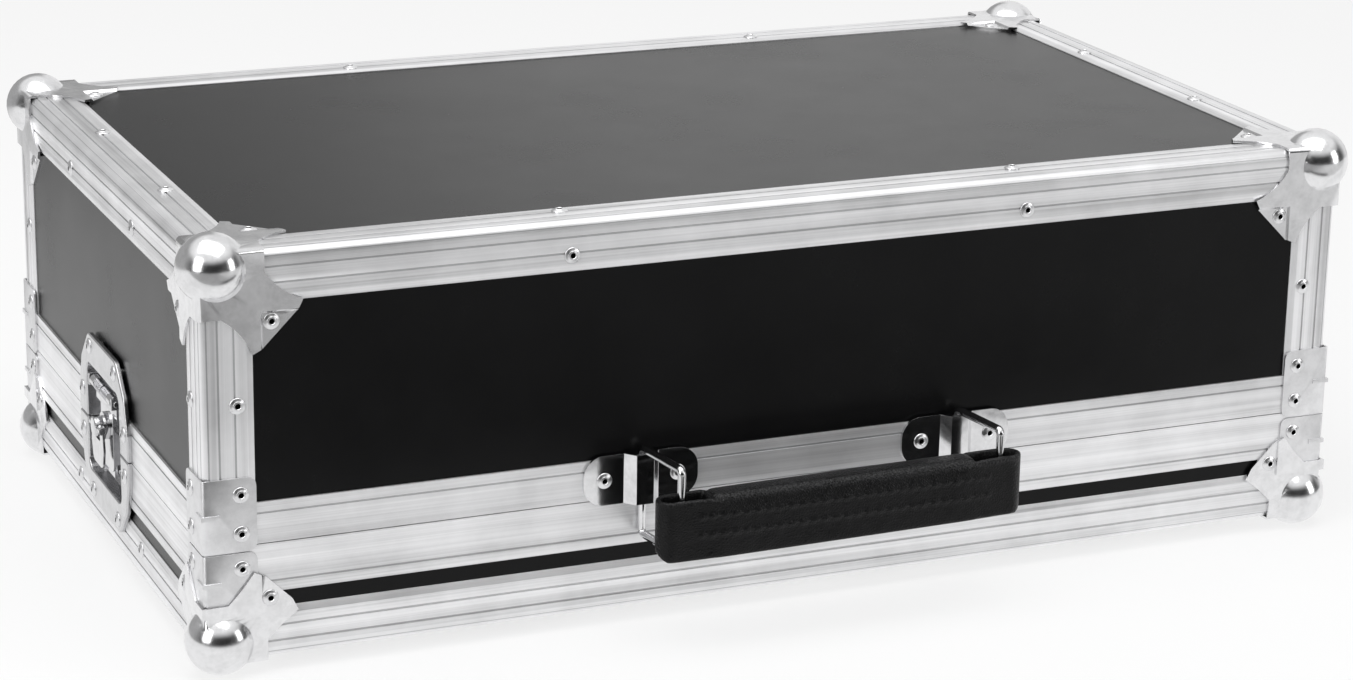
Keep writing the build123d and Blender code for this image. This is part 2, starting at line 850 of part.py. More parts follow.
# The grip: a strap folded into a loop round each ring's outer bar, padded between the loops
with BuildPart() as grip:
    with BuildSketch(handle_plane(loop_bottom, grip_level)):
        with Locations((grip_shift, 0)):
            thick_part = handle_half_spacing - grip_taper_length
            with BuildSketch(mode=Mode.PRIVATE) as outline:
                with Locations((-handle_half_spacing - grip_end_overhang, 0), (handle_half_spacing + grip_end_overhang, 0)):
                    Circle(grip_end_radius)
                with Locations((-thick_part, 0), (thick_part, 0)):
                    Circle(grip_thickness / 2)
                make_hull()
            add(outline.sketch)
            for end in (-1, 1):
                with BuildSketch(mode=Mode.PRIVATE) as slot:
                    with Locations((end * (handle_half_spacing + grip_end_overhang), 0)):
                        Circle(grip_slot_radius)
                    with Locations((end * (handle_half_spacing - grip_slot_length), 0)):
                        Circle(grip_slot_radius)
                    make_hull()
                add(slot.sketch, mode=Mode.SUBTRACT)
    extrude(amount=-loop_height)
    rims = faces().filter_by(Axis.Z).sort_by(Axis.Z)
    fillet(rims[0].outer_wire().edges() + rims[-1].outer_wire().edges(), grip_edge_radius)
    with BuildSketch(handle_plane(grip_bottom, grip_level)) as padded_part:
        add(outline.sketch.moved(Location((grip_shift, 0))))
        block(grip_shift - grip_body_half, -far, grip_shift + grip_body_half, far, Mode.INTERSECT)
    extrude(amount=-grip_height)
    rims = faces().filter_by(Axis.Z).sort_by(Axis.Z)
    fillet(rims[0].edges(), grip_lower_edge_radius)
    rims = faces().filter_by(Axis.Z).sort_by(Axis.Z)
    fillet(rims[-1].edges(), grip_upper_edge_radius)
finish(grip, "grip")


def latch_plane(side, level=0.0):
    """The middle of a short side seen from outside: x right, y up from the parting line, z out."""
    plane = face_plane(side, level)
    return Plane(origin=plane.origin + up * parting_height, x_dir=plane.x_dir, z_dir=plane.z_dir)


def latch_section(side):
    """Across a latch in its middle: x out of the side, y up from the parting line."""
    return section_plane(side, parting_height)


def draw_recess(way, grow=0.0, start=0.0):
    """The recess on one side of the parting line, open towards it."""
    half = recess_half_width + grow
    reach = (recess_upper_reach if way > 0 else recess_lower_reach) + grow
    block(-half, min(way * start, way * reach), half, max(way * start, way * reach))
    outer = vertices().group_by(Axis.Y)[-1 if way > 0 else 0]
    fillet(outer, recess_corner_radius + grow)


def add_dish(side, way):
    """One half of a latch's pressed dish: flange, side walls and back."""
    edge = dish_split + way * overhang_gap / 2
    upper = dish_upper_rivets + (dish_upper_swell,)
    lower = tuple((x, -y) for x, y in dish_lower_rivets + (dish_lower_swell,))
    centres = [(x * sign, y) for x, y in upper + lower for sign in (-1, 1)]
    reach = 2 * recess_upper_reach
    with BuildSketch(latch_plane(side)) as profile:
        with BuildSketch(mode=Mode.PRIVATE) as outline:
            with Locations(*centres):
                Circle(dish_rim_radius)
            make_hull()
        add(outline.sketch)
        if way > 0:
            block(-reach, edge, reach, reach, Mode.INTERSECT)
        else:
            block(-reach, -reach, reach, edge, Mode.INTERSECT)
        with BuildSketch(mode=Mode.PRIVATE) as opening:
            draw_recess(way, start=-recess_upper_reach)
        add(opening.sketch, mode=Mode.SUBTRACT)
    extrude(profile.sketch, amount=dish_flange)
    fillet(faces().sort_by(Axis.X)[0 if side == "left" else -1].outer_wire().edges(), dish_edge_radius)
    with BuildSketch(latch_plane(side)) as profile:
        with BuildSketch(mode=Mode.PRIVATE) as tub:
            draw_recess(way, grow=dish_sheet, start=half_gap)
        add(tub.sketch)
    extrude(profile.sketch, amount=-(recess_depth + dish_sheet))
    with BuildSketch(latch_plane(side)) as profile:
        with BuildSketch(mode=Mode.PRIVATE) as hollow:
            draw_recess(way)
        add(hollow.sketch)
    extrude(profile.sketch, amount=-recess_depth, mode=Mode.SUBTRACT)


def add_bar(side, height, level, radius, low, high, mode=Mode.ADD):
    """A round bar along the side, at this height over the parting line and this level."""
    plane = latch_section(side)
    with BuildSketch(plane.offset(low)) as profile:
        with Locations((level, height)):
            Circle(radius)
    extrude(profile.sketch, amount=high - low, mode=mode)


def add_plate(side, level, thickness, corners, mode=Mode.ADD):
    """A flat block on the latch between two corners, from this level outwards."""
    with BuildSketch(latch_plane(side, level)) as profile:
        block(*corners)
    extrude(profile.sketch, amount=thickness, mode=mode)


def add_disc(side, level, thickness, radius, height, mode=Mode.ADD):
    """A round disc facing out of the side."""
    with BuildSketch(latch_plane(side, level)) as profile:
        with Locations((0, height)):
            Circle(radius)
    extrude(profile.sketch, amount=thickness, mode=mode)


def least_gap(line, wire, turn_length):
    """The least gap between a coil's turns, on points along it."""
    count = 40 * spring_turns
    points = [line @ (step / count) for step in range(count + 1)]
    apart = math.ceil(0.6 * turn_length / (line.length / count))
    distances = [
        (points[second] - points[first]).length
        for first in range(count + 1)
        for second in range(first + apart, count + 1)
    ]
    return min(distances) - wire


arm_inner_level = arm_face_level - arm_sheet
hook_level = arm_inner_level - hook_gap
turret_height_over_parting = pivot_height - turret_place
keeper_bottom = -keeper_place - keeper_height / 2
toe_top = keeper_bottom - keeper_play
toe_bottom = toe_top - hook_toe_height
arm_bottom = pivot_height - arm_length

for side in latched_sides:
    with BuildPart() as upper_dish:
        add_dish(side, 1)
        for place in (-ear_place, ear_place):
            half = ear_thickness / 2
            foot_low, foot_high = pivot_height - knuckle_radius, pivot_height + knuckle_radius
            corners = (place - half, foot_low, place + half, foot_high)
            add_plate(side, -recess_depth, recess_depth - pivot_depth + pivot_radius + 1.4, corners)
        add_bar(side, pivot_height, -pivot_depth, pivot_radius, -recess_half_width + 1, recess_half_width - 1, Mode.SUBTRACT)
        drill_side(side, lid_points(side))
    finish(upper_dish, f"{side}_latch_upper_dish")

    with BuildPart() as lower_dish:
        add_dish(side, -1)
        corners = (-keeper_half_width, keeper_bottom, keeper_half_width, keeper_bottom + keeper_height)
        add_plate(side, -recess_depth, keeper_thickness, corners)
        drill_side(side, base_points(side))
    finish(lower_dish, f"{side}_latch_lower_dish")

    with BuildPart() as latch_pin:
        add_bar(side, pivot_height, -pivot_depth, pivot_radius, -pin_half_length, pin_half_length)
    finish(latch_pin, f"{side}_latch_pin")

    with BuildPart() as latch_arm:
        shoulder = pivot_height - arm_shoulder_depth
        for low, high in ((-knuckle_end, -knuckle_start), (knuckle_start, knuckle_end)):
            add_bar(side, pivot_height, -pivot_depth, knuckle_radius, low, high)
            add_plate(side, arm_inner_level, arm_sheet, (low, shoulder, high, pivot_height))
        with BuildSketch(latch_plane(side, arm_inner_level)):
            block(-arm_half_width, arm_bottom, arm_half_width, shoulder)
            fillet(vertices().group_by(Axis.Y)[0], 5)
            block(-knuckle_end, shoulder - 1, knuckle_end, pivot_height - arm_top_depth)
        extrude(amount=arm_sheet)
        for way in (-1, 1):
            near, far_edge = hook_half_width + 0.35, arm_half_width
            left_edge, right_edge = min(way * near, way * far_edge), max(way * near, way * far_edge)
            corners = (left_edge, arm_bottom + 5, right_edge, shoulder - 2)
            add_plate(side, arm_inner_level - arm_guide_depth, arm_guide_depth + 0.1, corners)
        add_disc(side, arm_inner_level - 1, arm_sheet + 2, axle_radius + 0.15, turret_height_over_parting, Mode.SUBTRACT)
        bore = pivot_radius + pivot_clearance
        add_bar(side, pivot_height, -pivot_depth, bore, -knuckle_end - 1, knuckle_end + 1, Mode.SUBTRACT)
    finish(latch_arm, f"{side}_latch_arm")

    with BuildPart() as turret:
        middle = turret_height_over_parting
        seat = arm_face_level + 0.1
        behind = arm_inner_level - 0.2
        add_disc(side, behind, seat - behind + 0.5, axle_radius, middle)
        add_disc(side, seat, turret_height, turret_radius, middle)
        add_disc(side, seat, boss_height, boss_radius, middle)
        rim = faces().sort_by(Axis.X)[0 if side == "left" else -1].edges()
        chamfer(rim, 0.6)
        eccentric_back = hook_level - hook_sheet - 0.2
        add_disc(side, eccentric_back, behind - eccentric_back, eccentric_radius, middle + eccentric_throw)
        add_disc(side, eccentric_back - cap_height, cap_height, cap_radius, middle)
        level = arm_face_level + wing_pin_level
        add_bar(side, middle, level, wing_pin_radius, -wing_knuckle_end, wing_knuckle_end)
    finish(turret, f"{side}_latch_turret")

    with BuildPart() as wing:
        middle = turret_height_over_parting
        level = arm_face_level + wing_pin_level
        with BuildSketch(latch_plane(side, level - wing_sheet / 2)):
            with BuildLine():
                Polyline(
                    (-wing_knuckle_end, middle),
                    (-wing_knuckle_end - 2, middle - wing_length * 0.5),
                    (-wing_half_width, middle - wing_length),
                    (wing_half_width, middle - wing_length),
                    (wing_knuckle_end + 2, middle - wing_length * 0.5),
                    (wing_knuckle_end, middle),
                    close=True,
                )
            make_face()
            fillet(vertices().group_by(Axis.Y)[0], 5)
            block(-wing_knuckle_start, middle - wing_plate_start, wing_knuckle_start, middle + 1, Mode.SUBTRACT)
            fillet(vertices().filter_by_position(Axis.Y, middle - wing_plate_start - 0.1, middle - wing_plate_start + 0.1), 2)
        extrude(amount=wing_sheet)
        for way in (-1, 1):
            low, high = sorted((way * wing_knuckle_start, way * wing_knuckle_end))
            add_bar(side, middle, level, wing_knuckle_radius, low, high)
        bore = wing_pin_radius + pivot_clearance
        add_bar(side, middle, level, bore, -arm_half_width, arm_half_width, Mode.SUBTRACT)
    finish(wing, f"{side}_latch_wing")

    with BuildPart() as hook:
        slot_middle = turret_height_over_parting + eccentric_throw
        slot_half_height = eccentric_radius + eccentric_play
        slot_half_width = slot_half_height + eccentric_throw
        with BuildSketch(latch_plane(side, hook_level - hook_sheet)):
            top_edge = turret_height_over_parting + hook_top
            block(-hook_half_width, turret_height_over_parting - hook_top, hook_half_width, top_edge)
            fillet(vertices(), 2)
            block(-hook_prong_half_width, toe_bottom, hook_prong_half_width, slot_middle)
            block(-slot_half_width, slot_middle - slot_half_height, slot_half_width, slot_middle + slot_half_height, Mode.SUBTRACT)
        extrude(amount=hook_sheet)
        toe = (-hook_prong_half_width, toe_bottom, hook_prong_half_width, toe_top)
        add_plate(side, hook_level - hook_sheet - hook_toe_depth, hook_toe_depth + 0.1, toe)
    finish(hook, f"{side}_latch_hook")

    with BuildPart() as spring:
        for way in (-1, 1):
            half_turns = 2 * spring_turns + 1
            half_pitch = spring_pitch / 2
            swell = math.hypot(spring_radius, half_pitch / 2)
            back_end = -recess_depth + 0.4
            with BuildLine(latch_section(side)) as coil:
                start = way * (spring_start + spring_pitch * spring_turns + half_pitch)
                top, bottom = pivot_height + spring_radius, pivot_height - spring_radius
                Line((back_end, top, start), (-pivot_depth, top, start))
                for index in range(half_turns):
                    ahead = index % 2 == 0
                    first, last = (top, bottom) if ahead else (bottom, top)
                    place = start - way * index * half_pitch
                    bulge = -pivot_depth + (swell if ahead else -swell)
                    ThreePointArc(
                        (-pivot_depth, first, place),
                        (bulge, pivot_height, place - way * half_pitch / 2),
                        (-pivot_depth, last, place - way * half_pitch),
                    )
                end = start - way * half_turns * half_pitch
                Line((-pivot_depth, bottom, end), (back_end, bottom, end))
            path = coil.wire()
            with BuildSketch(Plane(origin=path @ 0, z_dir=path % 0)):
                Circle(spring_wire / 2)
            sweep(path=path)
            gap = least_gap(path, spring_wire, 2 * math.pi * spring_radius)
            print(f"{side} latch spring: least gap between turns {gap:.2f} mm")
    finish(spring, f"{side}_latch_spring")
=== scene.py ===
# %% [markdown]
# # A flight case, dressed for a studio picture
# The case is a box of black laminated plywood. Its edges sit in bright aluminium profiles, its corners carry
# plated steel balls, and a leather grip hangs on two wire rings at the front. The shapes come from a packed
# model, which stays fixed. This script gives every piece its finish, and makes what a milling or folding
# drawing leaves plain: the rivets' domed heads, the leather, its stitches and the foam.

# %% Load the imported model
import json
import math

import bmesh
import bpy
from mathutils import Matrix, Vector


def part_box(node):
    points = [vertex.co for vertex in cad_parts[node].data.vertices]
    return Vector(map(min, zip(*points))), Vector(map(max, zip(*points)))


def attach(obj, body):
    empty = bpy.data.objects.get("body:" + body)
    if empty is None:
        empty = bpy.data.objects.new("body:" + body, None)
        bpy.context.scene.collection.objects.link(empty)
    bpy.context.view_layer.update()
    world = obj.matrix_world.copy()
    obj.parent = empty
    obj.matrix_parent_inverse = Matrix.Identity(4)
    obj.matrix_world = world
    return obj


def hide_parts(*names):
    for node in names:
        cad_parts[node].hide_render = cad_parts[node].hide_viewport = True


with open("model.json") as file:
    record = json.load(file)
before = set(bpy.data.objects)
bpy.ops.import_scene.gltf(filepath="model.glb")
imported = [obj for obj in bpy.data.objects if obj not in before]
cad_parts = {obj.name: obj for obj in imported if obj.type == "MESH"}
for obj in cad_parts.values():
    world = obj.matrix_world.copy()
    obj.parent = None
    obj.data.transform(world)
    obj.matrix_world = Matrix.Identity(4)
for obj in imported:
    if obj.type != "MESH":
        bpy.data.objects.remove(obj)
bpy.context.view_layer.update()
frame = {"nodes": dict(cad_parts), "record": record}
nodes = frame["nodes"]
body_of_node = {
    node: body for body, names in frame["record"]["behaviour"]["bodies"].items() for node in names
}
mm = 0.001

# %% [markdown]
# ## Where things are
# A dressed piece has to sit exactly where the model says. Its places could be typed in again, but a typed
# number goes stale as soon as the model changes. So the case's middle, its foot and the grip's box are read
# from the model's own boxes.

# %% Places read from the model
front_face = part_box("lid_front_edge")[0][1]
case_middle_y = (front_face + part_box("lid_back_edge")[1][1]) / 2
case_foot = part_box("base_front_edge")[0][2]
grip_low, grip_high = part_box("grip")
grip_middle = [(low + high) / 2 for low, high in zip(grip_low, grip_high)]
print("front face at y", round(front_face, 4), "grip centre", [round(v, 4) for v in grip_middle])

# %% [markdown]
# ## The camera
# The photograph was taken from the front left, a little above the case, with a long lens. A long lens keeps
# the far edges almost parallel to the near ones. A camera could be aimed with a Track To constraint, but
# then it can't tilt. So its axes are worked out from three angles: its turn round the case, how far it
# looks down, and a slight tilt.


# %% Camera
def add_object(name, data):
    """A new object in the scene."""
    thing = bpy.data.objects.new(name, data)
    bpy.context.scene.collection.objects.link(thing)
    return thing


camera_data = bpy.data.cameras.new("studio_camera")
camera_data.sensor_width = 36.0
camera_data.lens = 94.86
camera = add_object("studio_camera", camera_data)
bpy.context.scene.camera = camera

to_camera = (-0.8478, -1.9972, 0.7642)
camera_place = Vector(to_camera) + Vector((0, case_middle_y, case_foot))
turn, height_angle, tilt = (math.radians(angle) for angle in (23.26, 17.26, 0.94))
forward = Vector(
    (
        math.sin(turn) * math.cos(height_angle),
        math.cos(turn) * math.cos(height_angle),
        -math.sin(height_angle),
    )
)
level_right = Vector((math.cos(turn), -math.sin(turn), 0))
level_up = level_right.cross(forward)
right = level_right * math.cos(tilt) + level_up * math.sin(tilt)
above = level_up * math.cos(tilt) - level_right * math.sin(tilt)
camera.matrix_world = Matrix(
    [(right[i], above[i], -forward[i], camera_place[i]) for i in range(3)] + [(0, 0, 0, 1)]
)
print("camera", [round(v, 3) for v in camera_place], "lens", camera_data.lens)


# %% [markdown]
# ## Materials as node trees
# A material is a small network. These start from the Principled shader and change its colour, roughness
# and bump with noise read in Object coordinates, so a pattern stays fixed to the piece. Written out node by
# node, a network soon fills a page. Two helpers keep it readable: one adds a node with its settings, and one
# makes the material around them.


# %% Helpers for node trees
def add_node(tree, kind, inputs=None, **settings):
    """A node of this kind, its settings set, and its inputs set to values or linked to sockets."""
    node = tree.nodes.new(kind)
    for name, value in settings.items():
        setattr(node, name, value)
    for name, value in (inputs or {}).items():
        if isinstance(value, bpy.types.NodeSocket):
            tree.links.new(value, node.inputs[name])
        else:
            node.inputs[name].default_value = value
    return node


def new_material(name, colour, metallic=0.0, roughness=0.5, **shader_values):
    """A material with a Principled shader: returns it, its tree and the shader."""
    material = bpy.data.materials.new(name)
    material.use_nodes = True
    tree = material.node_tree
    shader = tree.nodes["Principled BSDF"]
    shader.inputs["Base Color"].default_value = (*colour, 1)
    shader.inputs["Metallic"].default_value = metallic
    shader.inputs["Roughness"].default_value = roughness
    for socket, value in shader_values.items():
        shader.inputs[socket.replace("_", " ")].default_value = value
    material.diffuse_color = (*colour, 1)
    return material, tree, shader


print("helpers made: add_node, new_material")

# %% [markdown]
# ### Common steps
# Most finishes take the same few steps: read a place on the piece, draw noise there, turn it into a tone or a
# range, and raise the surface by it. Each step is a helper that takes and gives sockets, so a finish reads
# from top to bottom.


# %% Helpers for patterns
def object_pattern(tree, scale, turn=(0, 0, 0)):
    """The piece's own coordinates, stretched and turned, in units of the scale."""
    place = add_node(tree, "ShaderNodeTexCoord")
    mapping = add_node(tree, "ShaderNodeMapping", {"Scale": scale, "Rotation": turn})
    tree.links.new(place.outputs["Object"], mapping.inputs["Vector"])
    return mapping.outputs["Vector"]


def noise(tree, vector, scale, detail=2.0, roughness=0.5):
    """Plain noise, from 0 to 1."""
    inputs = {"Vector": vector, "Scale": scale, "Detail": detail, "Roughness": roughness}
    return add_node(tree, "ShaderNodeTexNoise", inputs).outputs["Fac"]


def ramp(tree, value, *stops):
    """A colour ramp: each stop is a place and a grey or a colour."""
    node = add_node(tree, "ShaderNodeValToRGB", {"Fac": value})
    elements = node.color_ramp.elements
    while len(elements) < len(stops):
        elements.new(0.5)
    for element, (place, colour) in zip(elements, stops):
        element.position = place
        element.color = (*colour, 1) if hasattr(colour, "__len__") else (colour, colour, colour, 1)
    return node.outputs["Color"]


def between(tree, value, low, high):
    """The value from 0 to 1 moved to a range."""
    inputs = {"Value": value, "To Min": low, "To Max": high}
    return add_node(tree, "ShaderNodeMapRange", inputs).outputs["Result"]


def bump(tree, shader, height, distance, strength=0.5):
    """Raises the surface by the height, in metres."""
    inputs = {"Height": height, "Distance": distance, "Strength": strength}
    node = add_node(tree, "ShaderNodeBump", inputs)
    tree.links.new(node.outputs["Normal"], shader.inputs["Normal"])


print("helpers made: object_pattern, noise, ramp, between, bump")

# %% [markdown]
# ## Black laminate
# The panels are birch plywood under a thin black resin film. It is nearly black from in front and turns
# grey at a shallow angle, because any smooth film reflects more there. The Principled shader does that by
# itself, so a very dark base colour is enough. The film has a very fine orange-peel grain and a few faint
# handling marks, so roughness varies slowly and the bump is fine.


# %% Laminate
def laminate_material():
    material, tree, shader = new_material("black_laminate", (0.003, 0.003, 0.0032), roughness=0.26, IOR=1.25)
    here = object_pattern(tree, (1, 1, 1))
    grain = noise(tree, here, 1500, 3)
    marks = noise(tree, here, 14, 5, 0.65)
    tree.links.new(between(tree, marks, 0.20, 0.32), shader.inputs["Roughness"])
    shade = ramp(tree, marks, (0.3, (0.0022, 0.0022, 0.0024)), (0.75, (0.0045, 0.0045, 0.0047)))
    tree.links.new(shade, shader.inputs["Base Color"])
    bump(tree, shader, grain, 0.00008, 0.4)
    return material


laminate = laminate_material()
print("made", laminate.name)

# %% [markdown]
# ## Extruded aluminium
# A profile is pressed through a die, so its surface has fine lines along its length. Noise squeezed hard
# across the bar and left long along it gives such lines. The bars run three ways, so there are three
# materials, one for each axis. Their roughness and colour follow the lines, with slow cloudy patches where
# the metal has been handled.


# %% Aluminium along each axis
def calculate(tree, operation, *values):
    """Arithmetic on numbers or sockets, such as ADD or MULTIPLY_ADD."""
    return add_node(tree, "ShaderNodeMath", dict(enumerate(values)), operation=operation).outputs[0]


def stretched(along, lengthwise, crosswise):
    """Scales for a pattern that is drawn out along one axis."""
    return tuple(lengthwise if axis == along else crosswise for axis in range(3))


def aluminium_material(name, along, colour=(0.82, 0.82, 0.83), roughness=(0.22, 0.46)):
    material, tree, shader = new_material(name, colour, metallic=0.72, roughness=0.34)
    lines = noise(tree, object_pattern(tree, stretched(along, 3.0, 900.0)), 1.0, 4, 0.6)
    bands = noise(tree, object_pattern(tree, stretched(along, 2.0, 140.0)), 1.0, 2, 0.5)
    clouds = noise(tree, object_pattern(tree, (1, 1, 1)), 22, 4, 0.6)
    bands_and_lines = calculate(tree, "MULTIPLY_ADD", bands, 2.0, lines)
    pattern = calculate(tree, "DIVIDE", calculate(tree, "ADD", bands_and_lines, clouds), 4.0)
    dull, plain, bright = (tuple(min(1.0, share * c) for c in colour) for share in (0.62, 0.94, 1.16))
    tone = ramp(tree, pattern, (0.34, dull), (0.5, plain), (0.64, bright))
    tree.links.new(tone, shader.inputs["Base Color"])
    tree.links.new(between(tree, pattern, *roughness), shader.inputs["Roughness"])
    bump(tree, shader, lines, 0.00004, 0.3)
    return material


aluminium = [aluminium_material(f"extruded_aluminium_{axis}", index) for index, axis in enumerate("xyz")]
# Groove floors: the same aluminium, darker, as painted shade in the grooves.
groove_shade_metal = [
    aluminium_material(f"groove_shaded_aluminium_{axis}", index, colour=(0.50, 0.50, 0.51))
    for index, axis in enumerate("xyz")
]
print("made", [material.name for material in aluminium])

# %% [markdown]
# ## Plated steel
# The ball corners, brackets, rings and latches are pressed steel with a bright plating. It mirrors the
# studio, a little softly, because the steel under it isn't polished flat. Slow waves in the bump make the
# mirrored shapes wander, and faint smudges vary the roughness. The braces and the rivets are duller
# relatives. The inside of a rivet's hole is nearly black: painted shade over its walls and the mandrel's
# steel end in it. One function makes them all.


# %% Plated steel and its relatives
def plated_material(name, colour, roughness, wave=0.0004, wave_scale=45):
    material, tree, shader = new_material(name, colour, metallic=1.0, roughness=roughness[0])
    here = object_pattern(tree, (1, 1, 1))
    waves = noise(tree, here, wave_scale, 2, 0.5)
    smudges = noise(tree, here, 90, 5, 0.7)
    fine = noise(tree, here, 2200, 2, 0.5)
    tree.links.new(between(tree, smudges, *roughness), shader.inputs["Roughness"])
    dark = tuple(0.86 * c for c in colour)
    tree.links.new(ramp(tree, smudges, (0.35, dark), (0.6, colour)), shader.inputs["Base Color"])
    height = calculate(tree, "MULTIPLY_ADD", fine, 0.03, waves)
    bump(tree, shader, height, wave, 0.4)
    return material


plated_corner = plated_material("plated_corner_steel", (0.80, 0.80, 0.81), (0.12, 0.26))
plated_latch = plated_material("plated_latch_steel", (0.60, 0.60, 0.61), (0.14, 0.30), 0.0004, 80)
plated_arm = plated_material("plated_arm_steel", (0.66, 0.66, 0.67), (0.05, 0.12), 0.0003, 70)
plated_bracket = plated_material("plated_bracket_steel", (0.74, 0.74, 0.75), (0.05, 0.13), 0.0003, 60)
pressed_brace = plated_material("pressed_brace_sheet", (0.82, 0.82, 0.83), (0.34, 0.50))
rivet_metal = plated_material("rivet_aluminium", (0.78, 0.78, 0.79), (0.22, 0.36))
spring_wire = plated_material("spring_wire_steel", (0.55, 0.55, 0.57), (0.16, 0.28))
# Nearly black: painted shade inside a rivet's hole, on its walls and on the mandrel's steel end.
hole_shade_steel = plated_material("mandrel_and_hole_shade", (0.012, 0.012, 0.012), (0.5, 0.7))
print("made", plated_corner.name, "and its relatives, down to", hole_shade_steel.name)

# %% [markdown]
# ## Leather
# The grip is black leather. Real leather shows small cells of uneven size, which a Voronoi texture draws
# well: its distance to the cell edge makes the creases. The upper rim is painted paler in fine speckles that
# come in with height: a painted sheen, for the light that the rounded top catches from above.


# %% Leather
def fade(tree, value, start, end, low=0.0, high=1.0):
    """A smooth change from low to high while the value goes from start to end."""
    inputs = {"Value": value, "From Min": start, "From Max": end, "To Min": low, "To Max": high}
    return add_node(tree, "ShaderNodeMapRange", inputs, interpolation_type="SMOOTHSTEP").outputs["Result"]


def leather_material():
    material, tree, shader = new_material("black_leather", (0.004, 0.004, 0.0043), roughness=0.30, IOR=1.27)
    here = object_pattern(tree, (1, 1, 1))
    cells = add_node(
        tree, "ShaderNodeTexVoronoi", {"Vector": here, "Scale": 620.0}, feature="DISTANCE_TO_EDGE"
    ).outputs["Distance"]
    creases = between(tree, cells, 0.0, 2.4)
    patches = noise(tree, here, 60, 4, 0.6)
    tree.links.new(between(tree, patches, 0.22, 0.40), shader.inputs["Roughness"])
    dye = ramp(tree, patches, (0.3, (0.0022, 0.0022, 0.0024)), (0.7, (0.005, 0.005, 0.0053)))
    # Painted sheen: the upper rim is paler in fine speckles, for the light that its rounded top catches.
    level = add_node(tree, "ShaderNodeSeparateXYZ", {"Vector": here}).outputs["Z"]
    rim = fade(tree, level, grip_middle[2] + 9 * mm, grip_high[2])
    sheen_speckle = between(tree, noise(tree, here, 900, 3, 0.6), -0.9, 1.9)
    painted_sheen = calculate(tree, "MULTIPLY", rim, sheen_speckle)
    pale = ramp(tree, painted_sheen, (0.2, 0.0), (1.0, (0.036, 0.036, 0.037)))
    dye_and_sheen = add_node(tree, "ShaderNodeMix", {0: 1.0, 6: dye, 7: pale}, data_type="RGBA", blend_type="ADD")
    tree.links.new(dye_and_sheen.outputs[2], shader.inputs["Base Color"])
    bump(tree, shader, calculate(tree, "MULTIPLY_ADD", patches, 1.5, creases), 0.0003, 0.7)
    return material


leather = leather_material()
print("made", leather.name)

# %% [markdown]
# ## Thread
# Sewing thread is twisted from thinner yarns and waxed, so it gets slanting lines. A Wave texture turned a
# little about the thread gives them without any geometry.


# %% Thread
def thread_material():
    material, tree, shader = new_material("waxed_thread", (0.01, 0.01, 0.011), roughness=0.42, IOR=1.3)
    slanting = object_pattern(tree, (1, 1, 1), (0, 0.7, 0))
    wave = {"Vector": slanting, "Scale": 900.0, "Distortion": 1.0}
    twist = add_node(tree, "ShaderNodeTexWave", wave).outputs["Fac"]
    tree.links.new(ramp(tree, twist, (0.2, 0.004), (0.8, 0.018)), shader.inputs["Base Color"])
    bump(tree, shader, twist, 0.0001, 0.6)
    return material


thread = thread_material()
print("made", thread.name)

# %% [markdown]
# ## Foam
# Foam is a crowd of tiny open bubbles. Modelled bubbles would be millions of faces, so a Voronoi bump
# stands for them, and slow patches of tone keep the sheet from looking printed.


# %% Foam
def foam_material():
    material, tree, shader = new_material("grey_foam", (0.03, 0.03, 0.032), roughness=0.95)
    here = object_pattern(tree, (1, 1, 1))
    bubbles = add_node(tree, "ShaderNodeTexVoronoi", {"Vector": here, "Scale": 900.0}).outputs["Distance"]
    patches = noise(tree, here, 30, 3)
    tree.links.new(ramp(tree, patches, (0.3, 0.024), (0.7, 0.045)), shader.inputs["Base Color"])
    bump(tree, shader, bubbles, 0.0005, 0.8)
    return material


foam = foam_material()
print("made", foam.name)

# %% [markdown]
# ## Panels
# The panels are flat boards whose shape is already right. They could be copied and rounded as the metal
# parts are, but their edges are hidden in the profiles. So the model's own pieces stay and only take the
# laminate.


# %% Finish for the model's own pieces
def paint_node(name, material):
    """Gives one of the model's pieces its material."""
    piece = nodes[name]
    if not piece.material_slots:
        piece.data.materials.append(material)
    for slot in piece.material_slots:
        slot.link = "OBJECT"
        slot.material = material


panels = [name for name in nodes if name.endswith("_panel")]
for name in panels:
    paint_node(name, laminate)
print("laminate on", len(panels), "panels")

# %% [markdown]
# ## Metal parts with softened edges
# A pressed or extruded part never has a perfectly sharp edge, and the thin bright line along its edges is
# what makes it look real. The model's mesh is loose triangles, so a copy is merged, its flat faces joined,
# smooth faces marked smooth, and a narrow Bevel rounds the sharp edges. The copy then stands for the
# model's piece.


# %% Softened copies
def merged_copy(node, name):
    """A copy of a model piece as one closed mesh, with its flat areas joined."""
    mesh = nodes[node].data.copy()
    shape = bmesh.new()
    shape.from_mesh(mesh)
    bmesh.ops.remove_doubles(shape, verts=shape.verts, dist=2e-6)
    flat = math.radians(0.6)
    bmesh.ops.dissolve_limit(shape, angle_limit=flat, verts=shape.verts, edges=shape.edges)
    shape.to_mesh(mesh)
    shape.free()
    mesh.materials.clear()
    return add_object(name, mesh)


def stand_in(piece, node):
    """The piece rides where the node rode, and the node is hidden."""
    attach(piece, body_of_node[node])
    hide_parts(node)


